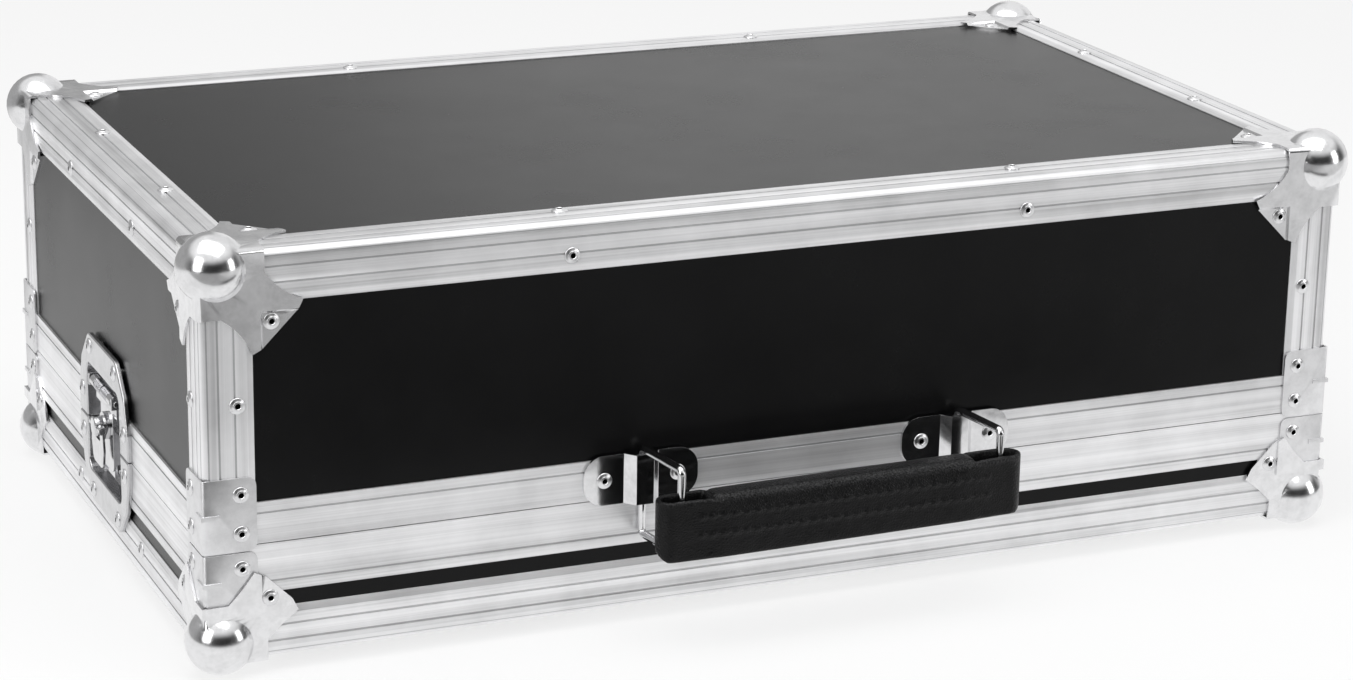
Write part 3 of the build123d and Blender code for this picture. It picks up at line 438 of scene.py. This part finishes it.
def soften(node, material, width, sharp=32, shaped=None, second=None):
    """A model piece with narrow rounded edges and its metal."""
    piece = merged_copy(node, f"{node}_metal")
    piece.data.materials.append(material)
    if second:
        piece.data.materials.append(second)
    if shaped:
        shape = bmesh.new()
        shape.from_mesh(piece.data)
        shaped(shape, node)
        shape.to_mesh(piece.data)
        shape.free()
    piece.data.shade_smooth()
    piece.data.set_sharp_from_angle(angle=math.radians(sharp))
    rounding = piece.modifiers.new("rounded_edges", "BEVEL")
    rounding.width = width
    rounding.segments = 2
    rounding.limit_method = "ANGLE"
    rounding.angle_limit = math.radians(sharp)
    rounding.harden_normals = True
    stand_in(piece, node)


def bar_axis(node):
    """Which way a bar runs: 0, 1 or 2."""
    if node.endswith("_uprights"):
        return 2
    low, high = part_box(node)
    sizes = [high[axis] - low[axis] for axis in range(3)]
    return sizes.index(max(sizes))


sample_bars = ("lid_front_edge", "lid_left_edge", "lid_uprights")
print("bars run along", {name: "xyz"[bar_axis(name)] for name in sample_bars})

# %% [markdown]
# ### The case's six outer planes
# The small shapes that follow are set by how deep a point lies inside the case's outer faces. The profiles
# lie in those faces, so their boxes give the six planes.

# %% The case's six outer planes
outer_planes = [
    (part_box("lid_left_edge")[0][0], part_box("lid_right_edge")[1][0]),
    (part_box("lid_front_edge")[0][1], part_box("lid_back_edge")[1][1]),
    (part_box("base_front_edge")[0][2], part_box("lid_front_edge")[1][2]),
]
print("outer planes", [[round(v, 4) for v in pair] for pair in outer_planes])


def depth_below(place, axis):
    """How far a place lies inside the nearer outer plane of this axis, and the way inwards."""
    low, high = outer_planes[axis]
    return (place[axis] - low, 1) if place[axis] - low < high - place[axis] else (high - place[axis], -1)


# %% [markdown]
# ### Grooves
# The floors of the profiles' grooves get a darker finish, painted shade for the shade that falls in these
# narrow recesses. They lie half a millimetre under the outer faces, so they can be found by their depth.

# %% Groove floors darkened as painted shade
groove_from, groove_to = 0.35 * mm, 0.65 * mm


def mark_grooves(shape, node):
    for face in shape.faces:
        middle = face.calc_center_median()
        for axis in range(3):
            depth, inwards = depth_below(middle, axis)
            # A groove floor takes the darker second finish: painted shade.
            if groove_from < depth < groove_to and face.normal[axis] * inwards < -0.9:
                face.material_index = 1


print("groove floors lie", round(groove_from / mm, 2), "to", round(groove_to / mm, 2), "mm deep")

# %% [markdown]
# ### Leg ends
# The end of each profile leg bends in a little, so that it bites the panel, and there it catches a bright
# line. A knife cut along the leg gives the bend its line, and the points at the leg's end move inwards.

# %% Bent leg ends
leg_length, leg_bend_from, leg_bend_depth = 30 * mm, 25.8 * mm, 0.95 * mm


def bend_leg_ends(shape, node):
    mark_grooves(shape, node)
    across = [axis for axis in range(3) if axis != bar_axis(node)]
    for axis in across:
        for plane, inwards in zip(outer_planes[axis], (1, -1)):
            place, normal = Vector((0, 0, 0)), Vector((0, 0, 0))
            place[axis] = plane + inwards * leg_bend_from
            normal[axis] = 1.0
            everything = list(shape.verts) + list(shape.edges) + list(shape.faces)
            bmesh.ops.bisect_plane(shape, geom=everything, dist=1e-6, plane_co=place, plane_no=normal)
    for axis, other in (across, across[::-1]):
        for vert in shape.verts:
            depth, inwards = depth_below(vert.co, axis)
            along_leg, _ = depth_below(vert.co, other)
            if depth < 0.05 * mm and abs(along_leg - leg_length) < 0.2 * mm:
                vert.co[axis] += inwards * leg_bend_depth


print("leg ends bend in by", round(leg_bend_depth / mm, 2), "mm")

# %% [markdown]
# ### Corner steps
# A lid corner lies on the profiles and steps down to the panel. A press leaves that step as a slope, not
# as a wall, so the points along its foot move outwards.

# %% Sloped corner steps
lid_step, lid_step_slope = 34.3 * mm, 1.2 * mm
step_tolerance, least_step_depth = 0.1 * mm, lid_step - 1.6 * mm


def slope_steps(shape, node):
    moves = []
    for vert in shape.verts:
        depths = [depth_below(vert.co, axis) for axis in range(3)]
        for axis in range(3):
            others = [other for other in range(3) if other != axis]
            on_face = abs(depths[axis][0]) <= 0.05 * mm
            if not on_face or min(depths[other][0] for other in others) < least_step_depth:
                continue
            for other in others:
                if abs(depths[other][0] - lid_step) < step_tolerance:
                    moves.append((vert, other, depths[other][1] * lid_step_slope))
    for vert, axis, move in moves:
        vert.co[axis] += move
    print(node, "sloped at", len(moves), "points")


# %% [markdown]
# ### All the metal
# Each kind of part gets the rounding that its making leaves: a die leaves crisp edges, a press leaves
# softer ones, and spring wire is round already. The sharp angle says which edges are rounded at all, and it
# is wider for pressed parts, whose folds are made of several flat strips.

# %% Soften every metal piece
for name in list(nodes):
    if name.endswith(("_edge", "_uprights")):
        axis = bar_axis(name)
        soften(name, aluminium[axis], 0.18 * mm, shaped=bend_leg_ends, second=groove_shade_metal[axis])
    elif name.endswith("_closing"):
        axis = bar_axis(name)
        soften(name, aluminium[axis], 0.25 * mm, shaped=mark_grooves, second=groove_shade_metal[axis])
    elif name.endswith("_braces"):
        soften(name, pressed_brace, 0.3 * mm, sharp=52)
    elif name == "lid_corners":
        soften(name, plated_corner, 0.4 * mm, sharp=43, shaped=slope_steps)
    elif name.endswith("_corners"):
        soften(name, plated_corner, 0.4 * mm, sharp=43)
    elif name.endswith(("_bracket", "_ring")):
        soften(name, plated_bracket, 0.3 * mm, sharp=45)
    elif name.endswith("_spring"):
        soften(name, spring_wire, 0.05 * mm, sharp=50)
    elif name.endswith("_dish"):
        soften(name, plated_latch, 0.3 * mm, sharp=46)
    elif "_latch_" in name:
        soften(name, plated_arm, 0.25 * mm)

# %% [markdown]
# ## Rivets
# Nearly a hundred blind rivets hold the case together. Each has a low domed head with a hole in it, and
# the broken end of the pulled mandrel shows in the hole. They are all alike, so one head is turned from a
# profile, and Geometry Nodes then sets it on every place.

# %% One rivet head
rivet_profile = [
    (0.0, -1.00),
    (0.95, -1.05),
    (1.15, -1.25),
    (1.20, -1.60),
    (1.50, -1.60),
    (1.55, 1.32),
    (1.80, 1.60),
    (2.35, 1.62),
    (2.75, 1.32),
    (3.20, 0.96),
    (4.20, 0.72),
    (4.60, 0.52),
    (4.75, 0.24),
    (4.75, 0.0),
    (2.40, 0.0),
    (2.40, -8.2),
    (0.0, -8.2),
]
rivet_steps = 28


def finished_mesh(name, shape):
    """The shape as a mesh, with its faces looking outwards."""
    bmesh.ops.recalc_face_normals(shape, faces=shape.faces)
    mesh = bpy.data.meshes.new(name)
    shape.to_mesh(mesh)
    shape.free()
    return mesh


def turned_mesh(name, profile, steps):
    """A closed shape turned round Z from (radius, height) points in millimetres."""
    shape = bmesh.new()
    rings = []
    for radius, height in profile:
        if radius == 0:
            rings.append([shape.verts.new((0, 0, height * mm))])
            continue
        ring = []
        for step in range(steps):
            angle = 2 * math.pi * step / steps
            x, y = radius * mm * math.cos(angle), radius * mm * math.sin(angle)
            ring.append(shape.verts.new((x, y, height * mm)))
        rings.append(ring)
    for first, second in zip(rings, rings[1:]):
        for step in range(steps):
            ahead = (step + 1) % steps
            corners = [
                first[step % len(first)],
                first[ahead % len(first)],
                second[ahead % len(second)],
                second[step % len(second)],
            ]
            shape.faces.new(list(dict.fromkeys(corners)))
    mesh = finished_mesh(name, shape)
    mesh.shade_smooth()
    mesh.set_sharp_from_angle(angle=math.radians(40))
    return mesh


rivet_form = bpy.data.objects.new("rivet_form", turned_mesh("rivet_form", rivet_profile, rivet_steps))
# The faces inside the hole, walls and mandrel end alike, are marked for the painted shade.
hole_radius, hole_lip = 1.56 * mm, 0.9 * mm
inside_hole = [
    math.hypot(face.center.x, face.center.y) < hole_radius and face.center.z < hole_lip
    for face in rivet_form.data.polygons
]
rivet_form.data.attributes.new("in_hole", "BOOLEAN", "FACE").data.foreach_set("value", inside_hole)
print("one rivet has", len(rivet_form.data.polygons), "faces")

# %% [markdown]
# ### Finding the rivets' places
# Every place comes from the model, where each plain rivet is a separate solid. Points that share an edge
# belong to one solid. In each solid the points that stand furthest from its middle line are the rim of its
# head, and they lie on the seat. The head's side of the solid is the way out.

# %% Seats of the rivets
rim_radius = 4.6 * mm


def rivet_seats(node):
    """(seat, way out) of each plain rivet in a model piece."""
    shape = bmesh.new()
    shape.from_mesh(nodes[node].data)
    bmesh.ops.remove_doubles(shape, verts=shape.verts, dist=2e-6)
    unseen = set(shape.verts)
    seats = []
    while unseen:
        front = [unseen.pop()]
        solid = list(front)
        while front:
            for edge in front.pop().link_edges:
                for vert in edge.verts:
                    if vert in unseen:
                        unseen.discard(vert)
                        front.append(vert)
                        solid.append(vert)
        lows = [min(vert.co[axis] for vert in solid) for axis in range(3)]
        highs = [max(vert.co[axis] for vert in solid) for axis in range(3)]
        spans = [high - low for low, high in zip(lows, highs)]
        axis = max(range(3), key=lambda way: sum(abs(spans[way] - span) for span in spans))
        middle = [(low + high) / 2 for low, high in zip(lows, highs)]
        across = [way for way in range(3) if way != axis]
        rim = [
            vert.co[axis]
            for vert in solid
            if math.hypot(*(vert.co[way] - middle[way] for way in across)) > rim_radius
        ]
        at_high_end = sum(rim) / len(rim) > middle[axis]
        seat = list(middle)
        seat[axis] = min(rim) if at_high_end else max(rim)
        outward = [0.0, 0.0, 0.0]
        outward[axis] = 1.0 if at_high_end else -1.0
        seats.append((seat, outward))
    shape.free()
    return sorted(seats)


print("a rivet's rim starts", round(rim_radius / mm, 1), "mm from its middle line")

# %% [markdown]
# ### Setting one form on many places
# A hundred copies could be placed by a loop, but a node tree does it in one step and can be reused. It
# takes a cloud of points. Each point carries a vector that says which way is up for its copy. Align Rotation
# turns the copy that way, Instance on Points sets it, and Realize Instances makes it real mesh. A second
# vector says where the copy's own X axis goes, which a round rivet ignores and a stitch needs. The inside
# of a rivet's hole, its walls and the mandrel's end, gets painted shade: the form's faces there carry a
# mark, and marked faces get a second, nearly black finish.


# %% The tree that sets a form on points
def scatter_tree(name):
    """Instances of one object on points, turned by the points' outward and along vectors."""
    tree = bpy.data.node_groups.new(name, "GeometryNodeTree")
    sockets = {"Points": "Geometry", "Form": "Object", "Finish": "Material", "Hole finish": "Material"}
    for socket, kind in sockets.items():
        tree.interface.new_socket(socket, in_out="INPUT", socket_type=f"NodeSocket{kind}")
    tree.interface.new_socket("Pieces", in_out="OUTPUT", socket_type="NodeSocketGeometry")
    given = add_node(tree, "NodeGroupInput")
    made = add_node(tree, "NodeGroupOutput")
    outward, along = (
        add_node(
            tree, "GeometryNodeInputNamedAttribute", {"Name": vector}, data_type="FLOAT_VECTOR"
        ).outputs[0]
        for vector in ("outward", "along")
    )
    stand = add_node(tree, "FunctionNodeAlignRotationToVector", {"Vector": outward}, axis="Z")
    turned = add_node(
        tree,
        "FunctionNodeAlignRotationToVector",
        {"Rotation": stand.outputs[0], "Vector": along},
        axis="X",
        pivot_axis="Z",
    )
    form = add_node(tree, "GeometryNodeObjectInfo", {"Object": given.outputs["Form"]})
    copies = add_node(
        tree,
        "GeometryNodeInstanceOnPoints",
        {
            "Points": given.outputs["Points"],
            "Instance": form.outputs["Geometry"],
            "Rotation": turned.outputs[0],
        },
    )
    real = add_node(tree, "GeometryNodeRealizeInstances", {"Geometry": copies.outputs[0]})
    finish = add_node(
        tree, "GeometryNodeSetMaterial", {"Geometry": real.outputs[0], "Material": given.outputs["Finish"]}
    )
    marked = add_node(tree, "GeometryNodeInputNamedAttribute", {"Name": "in_hole"}, data_type="BOOLEAN")
    hole = add_node(
        tree,
        "GeometryNodeSetMaterial",
        {
            "Geometry": finish.outputs[0],
            "Selection": marked.outputs[0],
            "Material": given.outputs["Hole finish"],
        },
    )
    tree.links.new(hole.outputs[0], made.inputs["Pieces"])
    return tree


scatter = scatter_tree("set_form_on_points")
print("the tree has", len(scatter.nodes), "nodes")


def set_on_points(name, places, form, material):
    """A plain mesh object of the form set on places: each is (point, outward, along)."""
    mesh = bpy.data.meshes.new(name)
    mesh.from_pydata([place for place, _, _ in places], [], [])
    for attribute, index in (("outward", 1), ("along", 2)):
        data = mesh.attributes.new(attribute, "FLOAT_VECTOR", "POINT").data
        data.foreach_set("vector", [value for place in places for value in place[index]])
    points = add_object(name + "_points", mesh)
    modifier = points.modifiers.new("set", "NODES")
    modifier.node_group = scatter
    sockets = {item.name: item.identifier for item in scatter.interface.items_tree if item.in_out == "INPUT"}
    modifier[sockets["Form"]] = form
    modifier[sockets["Finish"]] = material
    modifier[sockets["Hole finish"]] = hole_shade_steel
    graph = bpy.context.evaluated_depsgraph_get()
    result = bpy.data.meshes.new_from_object(points.evaluated_get(graph))
    result.name = name
    bpy.data.objects.remove(points)
    print(name, len(places), "copies,", len(result.polygons), "faces")
    return add_object(name, result)


# %% All the rivets
for node in ("lid_rivets", "base_rivets"):
    places = [
        (seat, outward, (outward[1], outward[2], outward[0])) for seat, outward in rivet_seats(node)
    ]
    stand_in(set_on_points(f"{node}_domed", places, rivet_form, rivet_metal), node)


# %% [markdown]
# ## The leather grip
# One wide strap is folded into a loop round both rings, and a stuffed core is sewn in between its walls. A
# cloth simulation could swell such a pad, but it would also draw the strap's thin ends together. So the
# strap and the core are drawn by rule, and a voxel remesh then melts the two into one skin.

# %% Sizes of the grip
half_length, half_thickness, half_height = ((high - low) / 2 for low, high in zip(grip_low, grip_high))
end_radius = 8.4 * mm
end_centre = half_length - end_radius
middle_half_depth = half_thickness - 0.15 * mm
full_from = 71 * mm
strap_wall, strap_edge = 3.0 * mm, 0.9 * mm
front_low, back_low = -half_height - 3.4 * mm, -half_height + 0.7 * mm
strap_high = half_height - 0.6 * mm
strap_tuck, tuck_length = 7.0 * mm, 16 * mm
lean = 0.011
core_half = 85 * mm
centre = Vector(grip_middle)
print("grip", round(2 * half_length, 4), "by", round(2 * half_thickness, 4), "by", round(2 * half_height, 4))

# %% [markdown]
# ### The strap
# Seen from above the strap is a long flat loop, thick in the middle and round at both ends. It is made by
# walking round that loop and drawing an upright section at each step. The leather hangs lower in front than
# at the back, and its upper edge is tucked into the roll between the rings.


# %% Outline of the strap, seen from above
def strap_depth(x):
    """Half the strap's thickness at this place: full in the middle, a ring's loop at the ends."""
    share = (end_centre - abs(x)) / (end_centre - full_from)
    share = max(0.0, min(1.0, share))
    return end_radius + (middle_half_depth - end_radius) * share * share * (3 - 2 * share)


def strap_outline(steps_straight=90, steps_end=18):
    """Points and outward normals round the strap, seen from above, centred on the grip."""
    points = []
    for side in (-1, 1):
        for step in range(steps_straight):
            x = side * end_centre * (2 * step / steps_straight - 1)
            points.append((x, side * strap_depth(x), 0.0, float(side)))
        for step in range(steps_end):
            angle = math.pi * step / steps_end
            nx, ny = side * math.sin(angle), side * math.cos(angle)
            points.append((side * end_centre + end_radius * nx, end_radius * ny, nx, ny))
    return points


outline = strap_outline()
print("strap outline has", len(outline), "steps round it")


# %% The strap
def strap_section(strap_low, strap_top):
    """The upright section: (outward offset, height) round it, in metres."""
    edge = strap_edge
    return [
        (0.0, strap_low + edge),
        (0.0, strap_top - edge),
        (-edge * 0.3, strap_top - edge * 0.3),
        (-edge, strap_top),
        (-strap_wall + edge, strap_top),
        (-strap_wall, strap_top - edge),
        (-strap_wall, strap_low + edge),
        (-strap_wall + edge, strap_low),
        (-edge, strap_low),
        (-edge * 0.3, strap_low + edge * 0.3),
    ]


def bridge_rings(shape, rings, closed):
    """Quads between neighbouring rings of vertices, and end caps where the row isn't closed."""
    pairs = list(zip(rings, rings[1:]))
    if closed:
        pairs.append((rings[-1], rings[0]))
    for first, second in pairs:
        for step in range(len(first)):
            ahead = (step + 1) % len(first)
            shape.faces.new((first[step], first[ahead], second[ahead], second[step]))
    if not closed:
        shape.faces.new(rings[0])
        shape.faces.new(rings[-1])


def add_strap(shape):
    rings = []
    for x, y, normal_x, normal_y in outline:
        ring = []
        front_share = min(1.0, max(0.0, -(normal_y + 0.1) / 0.8))
        tucked = min(1.0, max(0.0, (core_half - abs(x)) / tuck_length))
        strap_low = back_low + (front_low - back_low) * front_share
        for offset, height in strap_section(strap_low, strap_high - strap_tuck * tucked):
            place = Vector((x + offset * normal_x, y + offset * normal_y, height))
            ring.append(shape.verts.new(centre + place))
        rings.append(ring)
    bridge_rings(shape, rings, closed=True)


print("strap section has", len(strap_section(0.0, strap_high)), "points")

# %% [markdown]
# ### The core
# The stuffed core is a row of rounded sections from end to end. A power of sine and cosine gives a section
# between a circle and a square: the smaller the power, the squarer it is.


# %% The core
def add_core(shape, steps=60, around=40, squareness=(0.42, 0.6)):
    """Rounded sections across the grip, thinner at both ends."""
    rings = []
    for step in range(steps + 1):
        share = 2 * step / steps - 1
        tip = max(0.0, 1 - abs(share) ** 40) ** 0.5
        depth = (strap_depth(share * core_half) - 0.1 * mm) * (0.55 + 0.45 * tip)
        height = (half_height + 0.5 * mm) * (0.8 + 0.2 * tip)
        ring = []
        for part in range(around):
            angle = 2 * math.pi * part / around
            across, upward = (
                math.copysign(abs(wave) ** power, wave) * reach
                for wave, power, reach in zip(
                    (math.cos(angle), math.sin(angle)), squareness, (depth, height)
                )
            )
            ring.append(shape.verts.new(centre + Vector((share * core_half, across, upward))))
        rings.append(ring)
    bridge_rings(shape, rings, closed=False)


print("core is", round(2 * core_half, 3), "m long")

# %% [markdown]
# ### One skin
# Remesh turns the crossing strap and core into one closed skin, and Smooth takes the steps out of it. The
# seams are narrower than a voxel, so they come afterwards: each point of the two faces moves by a formula
# for the stuffing's swell, for slow lumps, and for the thread's pull, which is deepest at each stitch.


# %% One skin from both
skin_voxel = 1.1 * mm
stitch_pitch = 7.0 * mm
seam_heights = (-0.30 * half_height, 0.34 * half_height)
seam_half = 91 * mm
seam_width, pull_mean, pull_wave = 1.5 * mm, 0.75 * mm, 0.45 * mm
swell_depth, lump_depth, skin_inset = 0.35 * mm, 0.10 * mm, 0.3 * mm


def seam_dip(x, z):
    """How far the seams pull the leather in at this place on a face of the grip."""
    inside = 1.0 if abs(x) < seam_half else math.exp(-(((abs(x) - seam_half) / (2 * mm)) ** 2))
    return inside * sum(math.exp(-(((z - seam) / seam_width) ** 2)) for seam in seam_heights)


def leather_skin():
    """The strap and the core remeshed into one mesh, smoothed, with its seams pulled in."""
    shape = bmesh.new()
    add_strap(shape)
    add_core(shape)
    piece = add_object("grip_rough", finished_mesh("grip_rough", shape))
    melt = piece.modifiers.new("melt", "REMESH")
    melt.mode = "VOXEL"
    melt.voxel_size = skin_voxel
    soften_skin = piece.modifiers.new("soften", "SMOOTH")
    soften_skin.factor, soften_skin.iterations = 0.5, 5
    mesh = bpy.data.meshes.new_from_object(piece.evaluated_get(bpy.context.evaluated_depsgraph_get()))
    bpy.data.objects.remove(piece)
    for vert in mesh.vertices:
        x, y, z = vert.co - centre
        face_share = abs(vert.normal.y) ** 4
        lumps = lump_depth * math.sin(x * 520) * math.sin(z * 410 + x * 90)
        swell = swell_depth * math.cos(math.pi * z / (2 * half_height))
        pull = (pull_mean + pull_wave * math.cos(2 * math.pi * x / stitch_pitch)) * seam_dip(x, z)
        vert.co.y += math.copysign(face_share * (swell + lumps - pull - skin_inset), y)
        vert.co.z += lean * x
    mesh.name = "grip_leather"
    mesh.materials.clear()
    mesh.materials.append(leather)
    mesh.shade_smooth()
    return mesh


grip_leather = add_object("grip_leather", leather_skin())
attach(grip_leather, "grip")
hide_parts("grip")
print("grip skin has", len(grip_leather.data.polygons), "faces")

# %% [markdown]
# ### Stitches
# Two rows of heavy stitches run along each face and pull the leather in. A bump could only darken them, and
# the light along a thread comes from its round shape. So a stitch is a short capsule, and the same tree that
# set the rivets sets it along the seams.

# %% Stitch rows
stitch_profile = [(0.0, 2.8), (0.48, 2.6), (0.76, 1.9), (0.76, -1.9), (0.48, -2.6), (0.0, -2.8)]
stitch_form = bpy.data.objects.new("stitch_form", turned_mesh("stitch_form", stitch_profile, 8))


def stitch_places():
    """A place on the grip for each stitch, in the seams of both faces."""
    count = int(2 * (seam_half - 2 * mm) / stitch_pitch)
    for side in (-1, 1):
        for seam in seam_heights:
            for index in range(count + 1):
                x = (index - count / 2) * stitch_pitch
                level = strap_depth(x) - 0.35 * mm
                place = centre + Vector((x, side * level, seam + lean * x))
                yield (tuple(place), (1.0, 0.0, lean), (0.0, 0.0, 1.0))


stitches = set_on_points("grip_stitches", list(stitch_places()), stitch_form, thread)
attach(stitches, "grip")

# %% [markdown]
# ## Foam inside
# The case is shut, so its lining isn't in the photograph. A case of this kind has soft foam inside: a
# wavy sheet under the lid that presses on what is packed, and a flat sheet on the floor. Both are a grid
# bent by a formula, with a rim that goes down to a flat back.


# %% Foam sheets
def fill_between(shape, first, second):
    """Quads between two rows of points."""
    for step in range(len(first) - 1):
        shape.faces.new((first[step], first[step + 1], second[step + 1], second[step]))


def foam_sheet(node, name, free_way, wave, pitch=32 * mm, step=5.5 * mm):
    """A foam sheet in a model pad's place: free_way is the Z way that its soft face looks."""
    low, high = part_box(node)
    width, depth, thickness = (high[axis] - low[axis] for axis in range(3))
    columns, rows = int(width / step), int(depth / step)
    back, face = (low[2], high[2]) if free_way > 0 else (high[2], low[2])
    shape = bmesh.new()
    front_grid, back_grid = [], []
    for row in range(rows + 1):
        front_row, back_row = [], []
        for column in range(columns + 1):
            x = low[0] + width * column / columns
            y = low[1] + depth * row / rows
            rim = min(column, columns - column, row, rows - row) * step
            swell = 0.5 + 0.5 * math.sin(2 * math.pi * x / pitch) * math.sin(2 * math.pi * y / pitch)
            drop = wave * (1 - swell) + 1.2 * mm * math.exp(-rim / (3 * mm))
            front_row.append(shape.verts.new((x, y, face - free_way * drop)))
            back_row.append(shape.verts.new((x, y, back)))
        front_grid.append(front_row)
        back_grid.append(back_row)
    for grid in (front_grid, back_grid):
        for near, far in zip(grid, grid[1:]):
            fill_between(shape, near, far)
    for end in (0, -1):
        fill_between(shape, front_grid[end], back_grid[end])
        fill_between(shape, [row[end] for row in front_grid], [row[end] for row in back_grid])
    mesh = finished_mesh(name, shape)
    mesh.materials.append(foam)
    mesh.shade_smooth()
    mesh.set_sharp_from_angle(angle=math.radians(60))
    piece = add_object(name, mesh)
    stand_in(piece, node)
    print(name, round(width, 3), "by", round(depth, 3), "by", round(thickness, 3), "m")


foam_sheet("lid_foam", "lid_foam_waved", -1, 6.5 * mm)
foam_sheet("base_foam", "base_foam_flat", 1, 0.0)

# %% [markdown]
# ## The studio floor
# The picture has a plain white ground, and a dark room in front of it. Bright steel shows that room: the
# low plates mirror the white table close to them, and the higher ones the dark beyond its front edge. A
# plain white floor would leave the steel without that contrast. So the floor is white to the camera
# everywhere and keeps the case's soft shadow, but what mirrors it sees white only as far as the table goes.

# %% What a mirror sees of the floor
table_front, table_back, far_table = (-0.50, -0.43), (1.6, 0.45), 0.3
dark_middle, dark_half, dark_end = 0.115, (0.28, 0.40), (-0.52, -0.64)


def floor_in_mirrors(tree):
    """How bright the floor is in a mirror: the white table, and the room past its front edge."""
    place = add_node(tree, "ShaderNodeTexCoord").outputs["Object"]
    split = add_node(tree, "ShaderNodeSeparateXYZ", {"Vector": place})
    to_right, to_back = split.outputs["X"], split.outputs["Y"]
    past_front = fade(tree, to_back, *table_front)
    table = calculate(tree, "MULTIPLY", past_front, fade(tree, to_back, *table_back, far_table))
    from_middle = calculate(tree, "ABSOLUTE", calculate(tree, "SUBTRACT", to_right, dark_middle))
    beside_dark = fade(tree, from_middle, *dark_half)
    past_dark = fade(tree, to_back, *dark_end)
    window = fade(tree, to_right, -0.3, 0.6, 0.42, 0.72)
    room = calculate(tree, "MULTIPLY", calculate(tree, "MAXIMUM", past_dark, beside_dark), window)
    return calculate(tree, "MAXIMUM", table, room)


def mirrored_rays(tree, paths):
    """1 for a ray that metal or glass sends on."""
    return calculate(tree, "MAXIMUM", paths.outputs["Is Glossy Ray"], paths.outputs["Is Transmission Ray"])


def mixed(tree, share, first, second):
    """The first shader, turned into the second by the share."""
    return add_node(tree, "ShaderNodeMixShader", {"Fac": share, 1: first, 2: second}).outputs[0]


print("mirrors see the table from y", table_front[1], "to", table_back[1])


# %% Floor
def floor_material():
    material = bpy.data.materials.new("studio_floor")
    material.use_nodes = True
    tree = material.node_tree
    tree.nodes.clear()
    paths = add_node(tree, "ShaderNodeLightPath")
    lit = add_node(tree, "ShaderNodeBsdfDiffuse", {"Color": (0.9, 0.9, 0.9, 1)}).outputs[0]
    white = add_node(tree, "ShaderNodeEmission", {"Color": (1, 1, 1, 1), "Strength": 1.0}).outputs[0]
    glow = {"Color": (1, 1, 1, 1), "Strength": floor_in_mirrors(tree)}
    in_mirror = add_node(tree, "ShaderNodeEmission", glow).outputs[0]
    for_camera = mixed(tree, paths.outputs["Is Camera Ray"], lit, mixed(tree, 0.72, lit, white))
    everyone = mixed(tree, mirrored_rays(tree, paths), for_camera, in_mirror)
    add_node(tree, "ShaderNodeOutputMaterial", {"Surface": everyone})
    return material


floor_half = 12.0
floor_corners = [(x * floor_half, y * floor_half, 0) for x, y in ((-1, -1), (1, -1), (1, 1), (-1, 1))]
floor_mesh = bpy.data.meshes.new("studio_floor")
floor_mesh.from_pydata(floor_corners, [], [(0, 1, 2, 3)])
floor_mesh.materials.append(floor_material())
floor = add_object("studio_floor", floor_mesh)
print("floor", 2 * floor_half, "m wide")

# %% [markdown]
# ## Lamps
# A small lamp gives hard shadows and hot spots. These three are as large as the soft boxes of a studio: one
# overhead for the top, and one on each side in front for the faces. They are only as strong as shows the
# finishes at about their own colours.


# %% Lamps
def soft_lamp(name, place, size, power, aim=(0, 0, 0.1)):
    data = bpy.data.lights.new(name, "AREA")
    data.shape = "RECTANGLE"
    data.size, data.size_y = size
    data.energy = power
    lamp = add_object(name, data)
    lamp.location = place
    lamp.rotation_euler = (Vector(aim) - Vector(place)).to_track_quat("-Z", "Y").to_euler()
    print(name, power, "W")


soft_lamp("lamp_overhead", (-0.3, -0.4, 2.4), (2.6, 1.8), 34)
soft_lamp("lamp_left", (-2.4, -1.3, 1.2), (1.2, 1.8), 22)
soft_lamp("lamp_right", (2.2, -2.0, 1.0), (1.0, 1.6), 14)

# %% [markdown]
# ## The world
# The world lights the case evenly from all round, and is white to the camera. Mirrors see more of a room in
# it: dark behind the camera, pale behind the case and overhead. Light Path tells these rays apart, so the
# mirrored room costs no light on the object.


# %% World
def studio_world():
    world = bpy.data.worlds.new("studio_world")
    world.use_nodes = True
    tree = world.node_tree
    tree.nodes.clear()
    paths = add_node(tree, "ShaderNodeLightPath")
    direction = add_node(tree, "ShaderNodeTexCoord").outputs["Generated"]
    split = add_node(tree, "ShaderNodeSeparateXYZ", {"Vector": direction})
    behind = fade(tree, split.outputs["Y"], -0.30, 0.45, 0.06, 0.92)
    to_right = fade(tree, split.outputs["X"], 0.24, 0.38, 0.45, 1.0)
    overhead = fade(tree, split.outputs["Z"], 0.34, 0.72, 0.0, 0.95)
    room = calculate(tree, "MAXIMUM", calculate(tree, "MULTIPLY", behind, to_right), overhead)
    lit, in_mirror, seen = (
        add_node(tree, "ShaderNodeBackground", {"Color": (1, 1, 1, 1), "Strength": strength}).outputs[0]
        for strength in (0.52, room, 1.0)
    )
    for_object = mixed(tree, mirrored_rays(tree, paths), lit, in_mirror)
    everyone = mixed(tree, paths.outputs["Is Camera Ray"], for_object, seen)
    add_node(tree, "ShaderNodeOutputWorld", {"Surface": everyone})
    return world


bpy.context.scene.world = studio_world()
bpy.context.scene.view_settings.view_transform = "Standard"
print("world", bpy.context.scene.world.name)
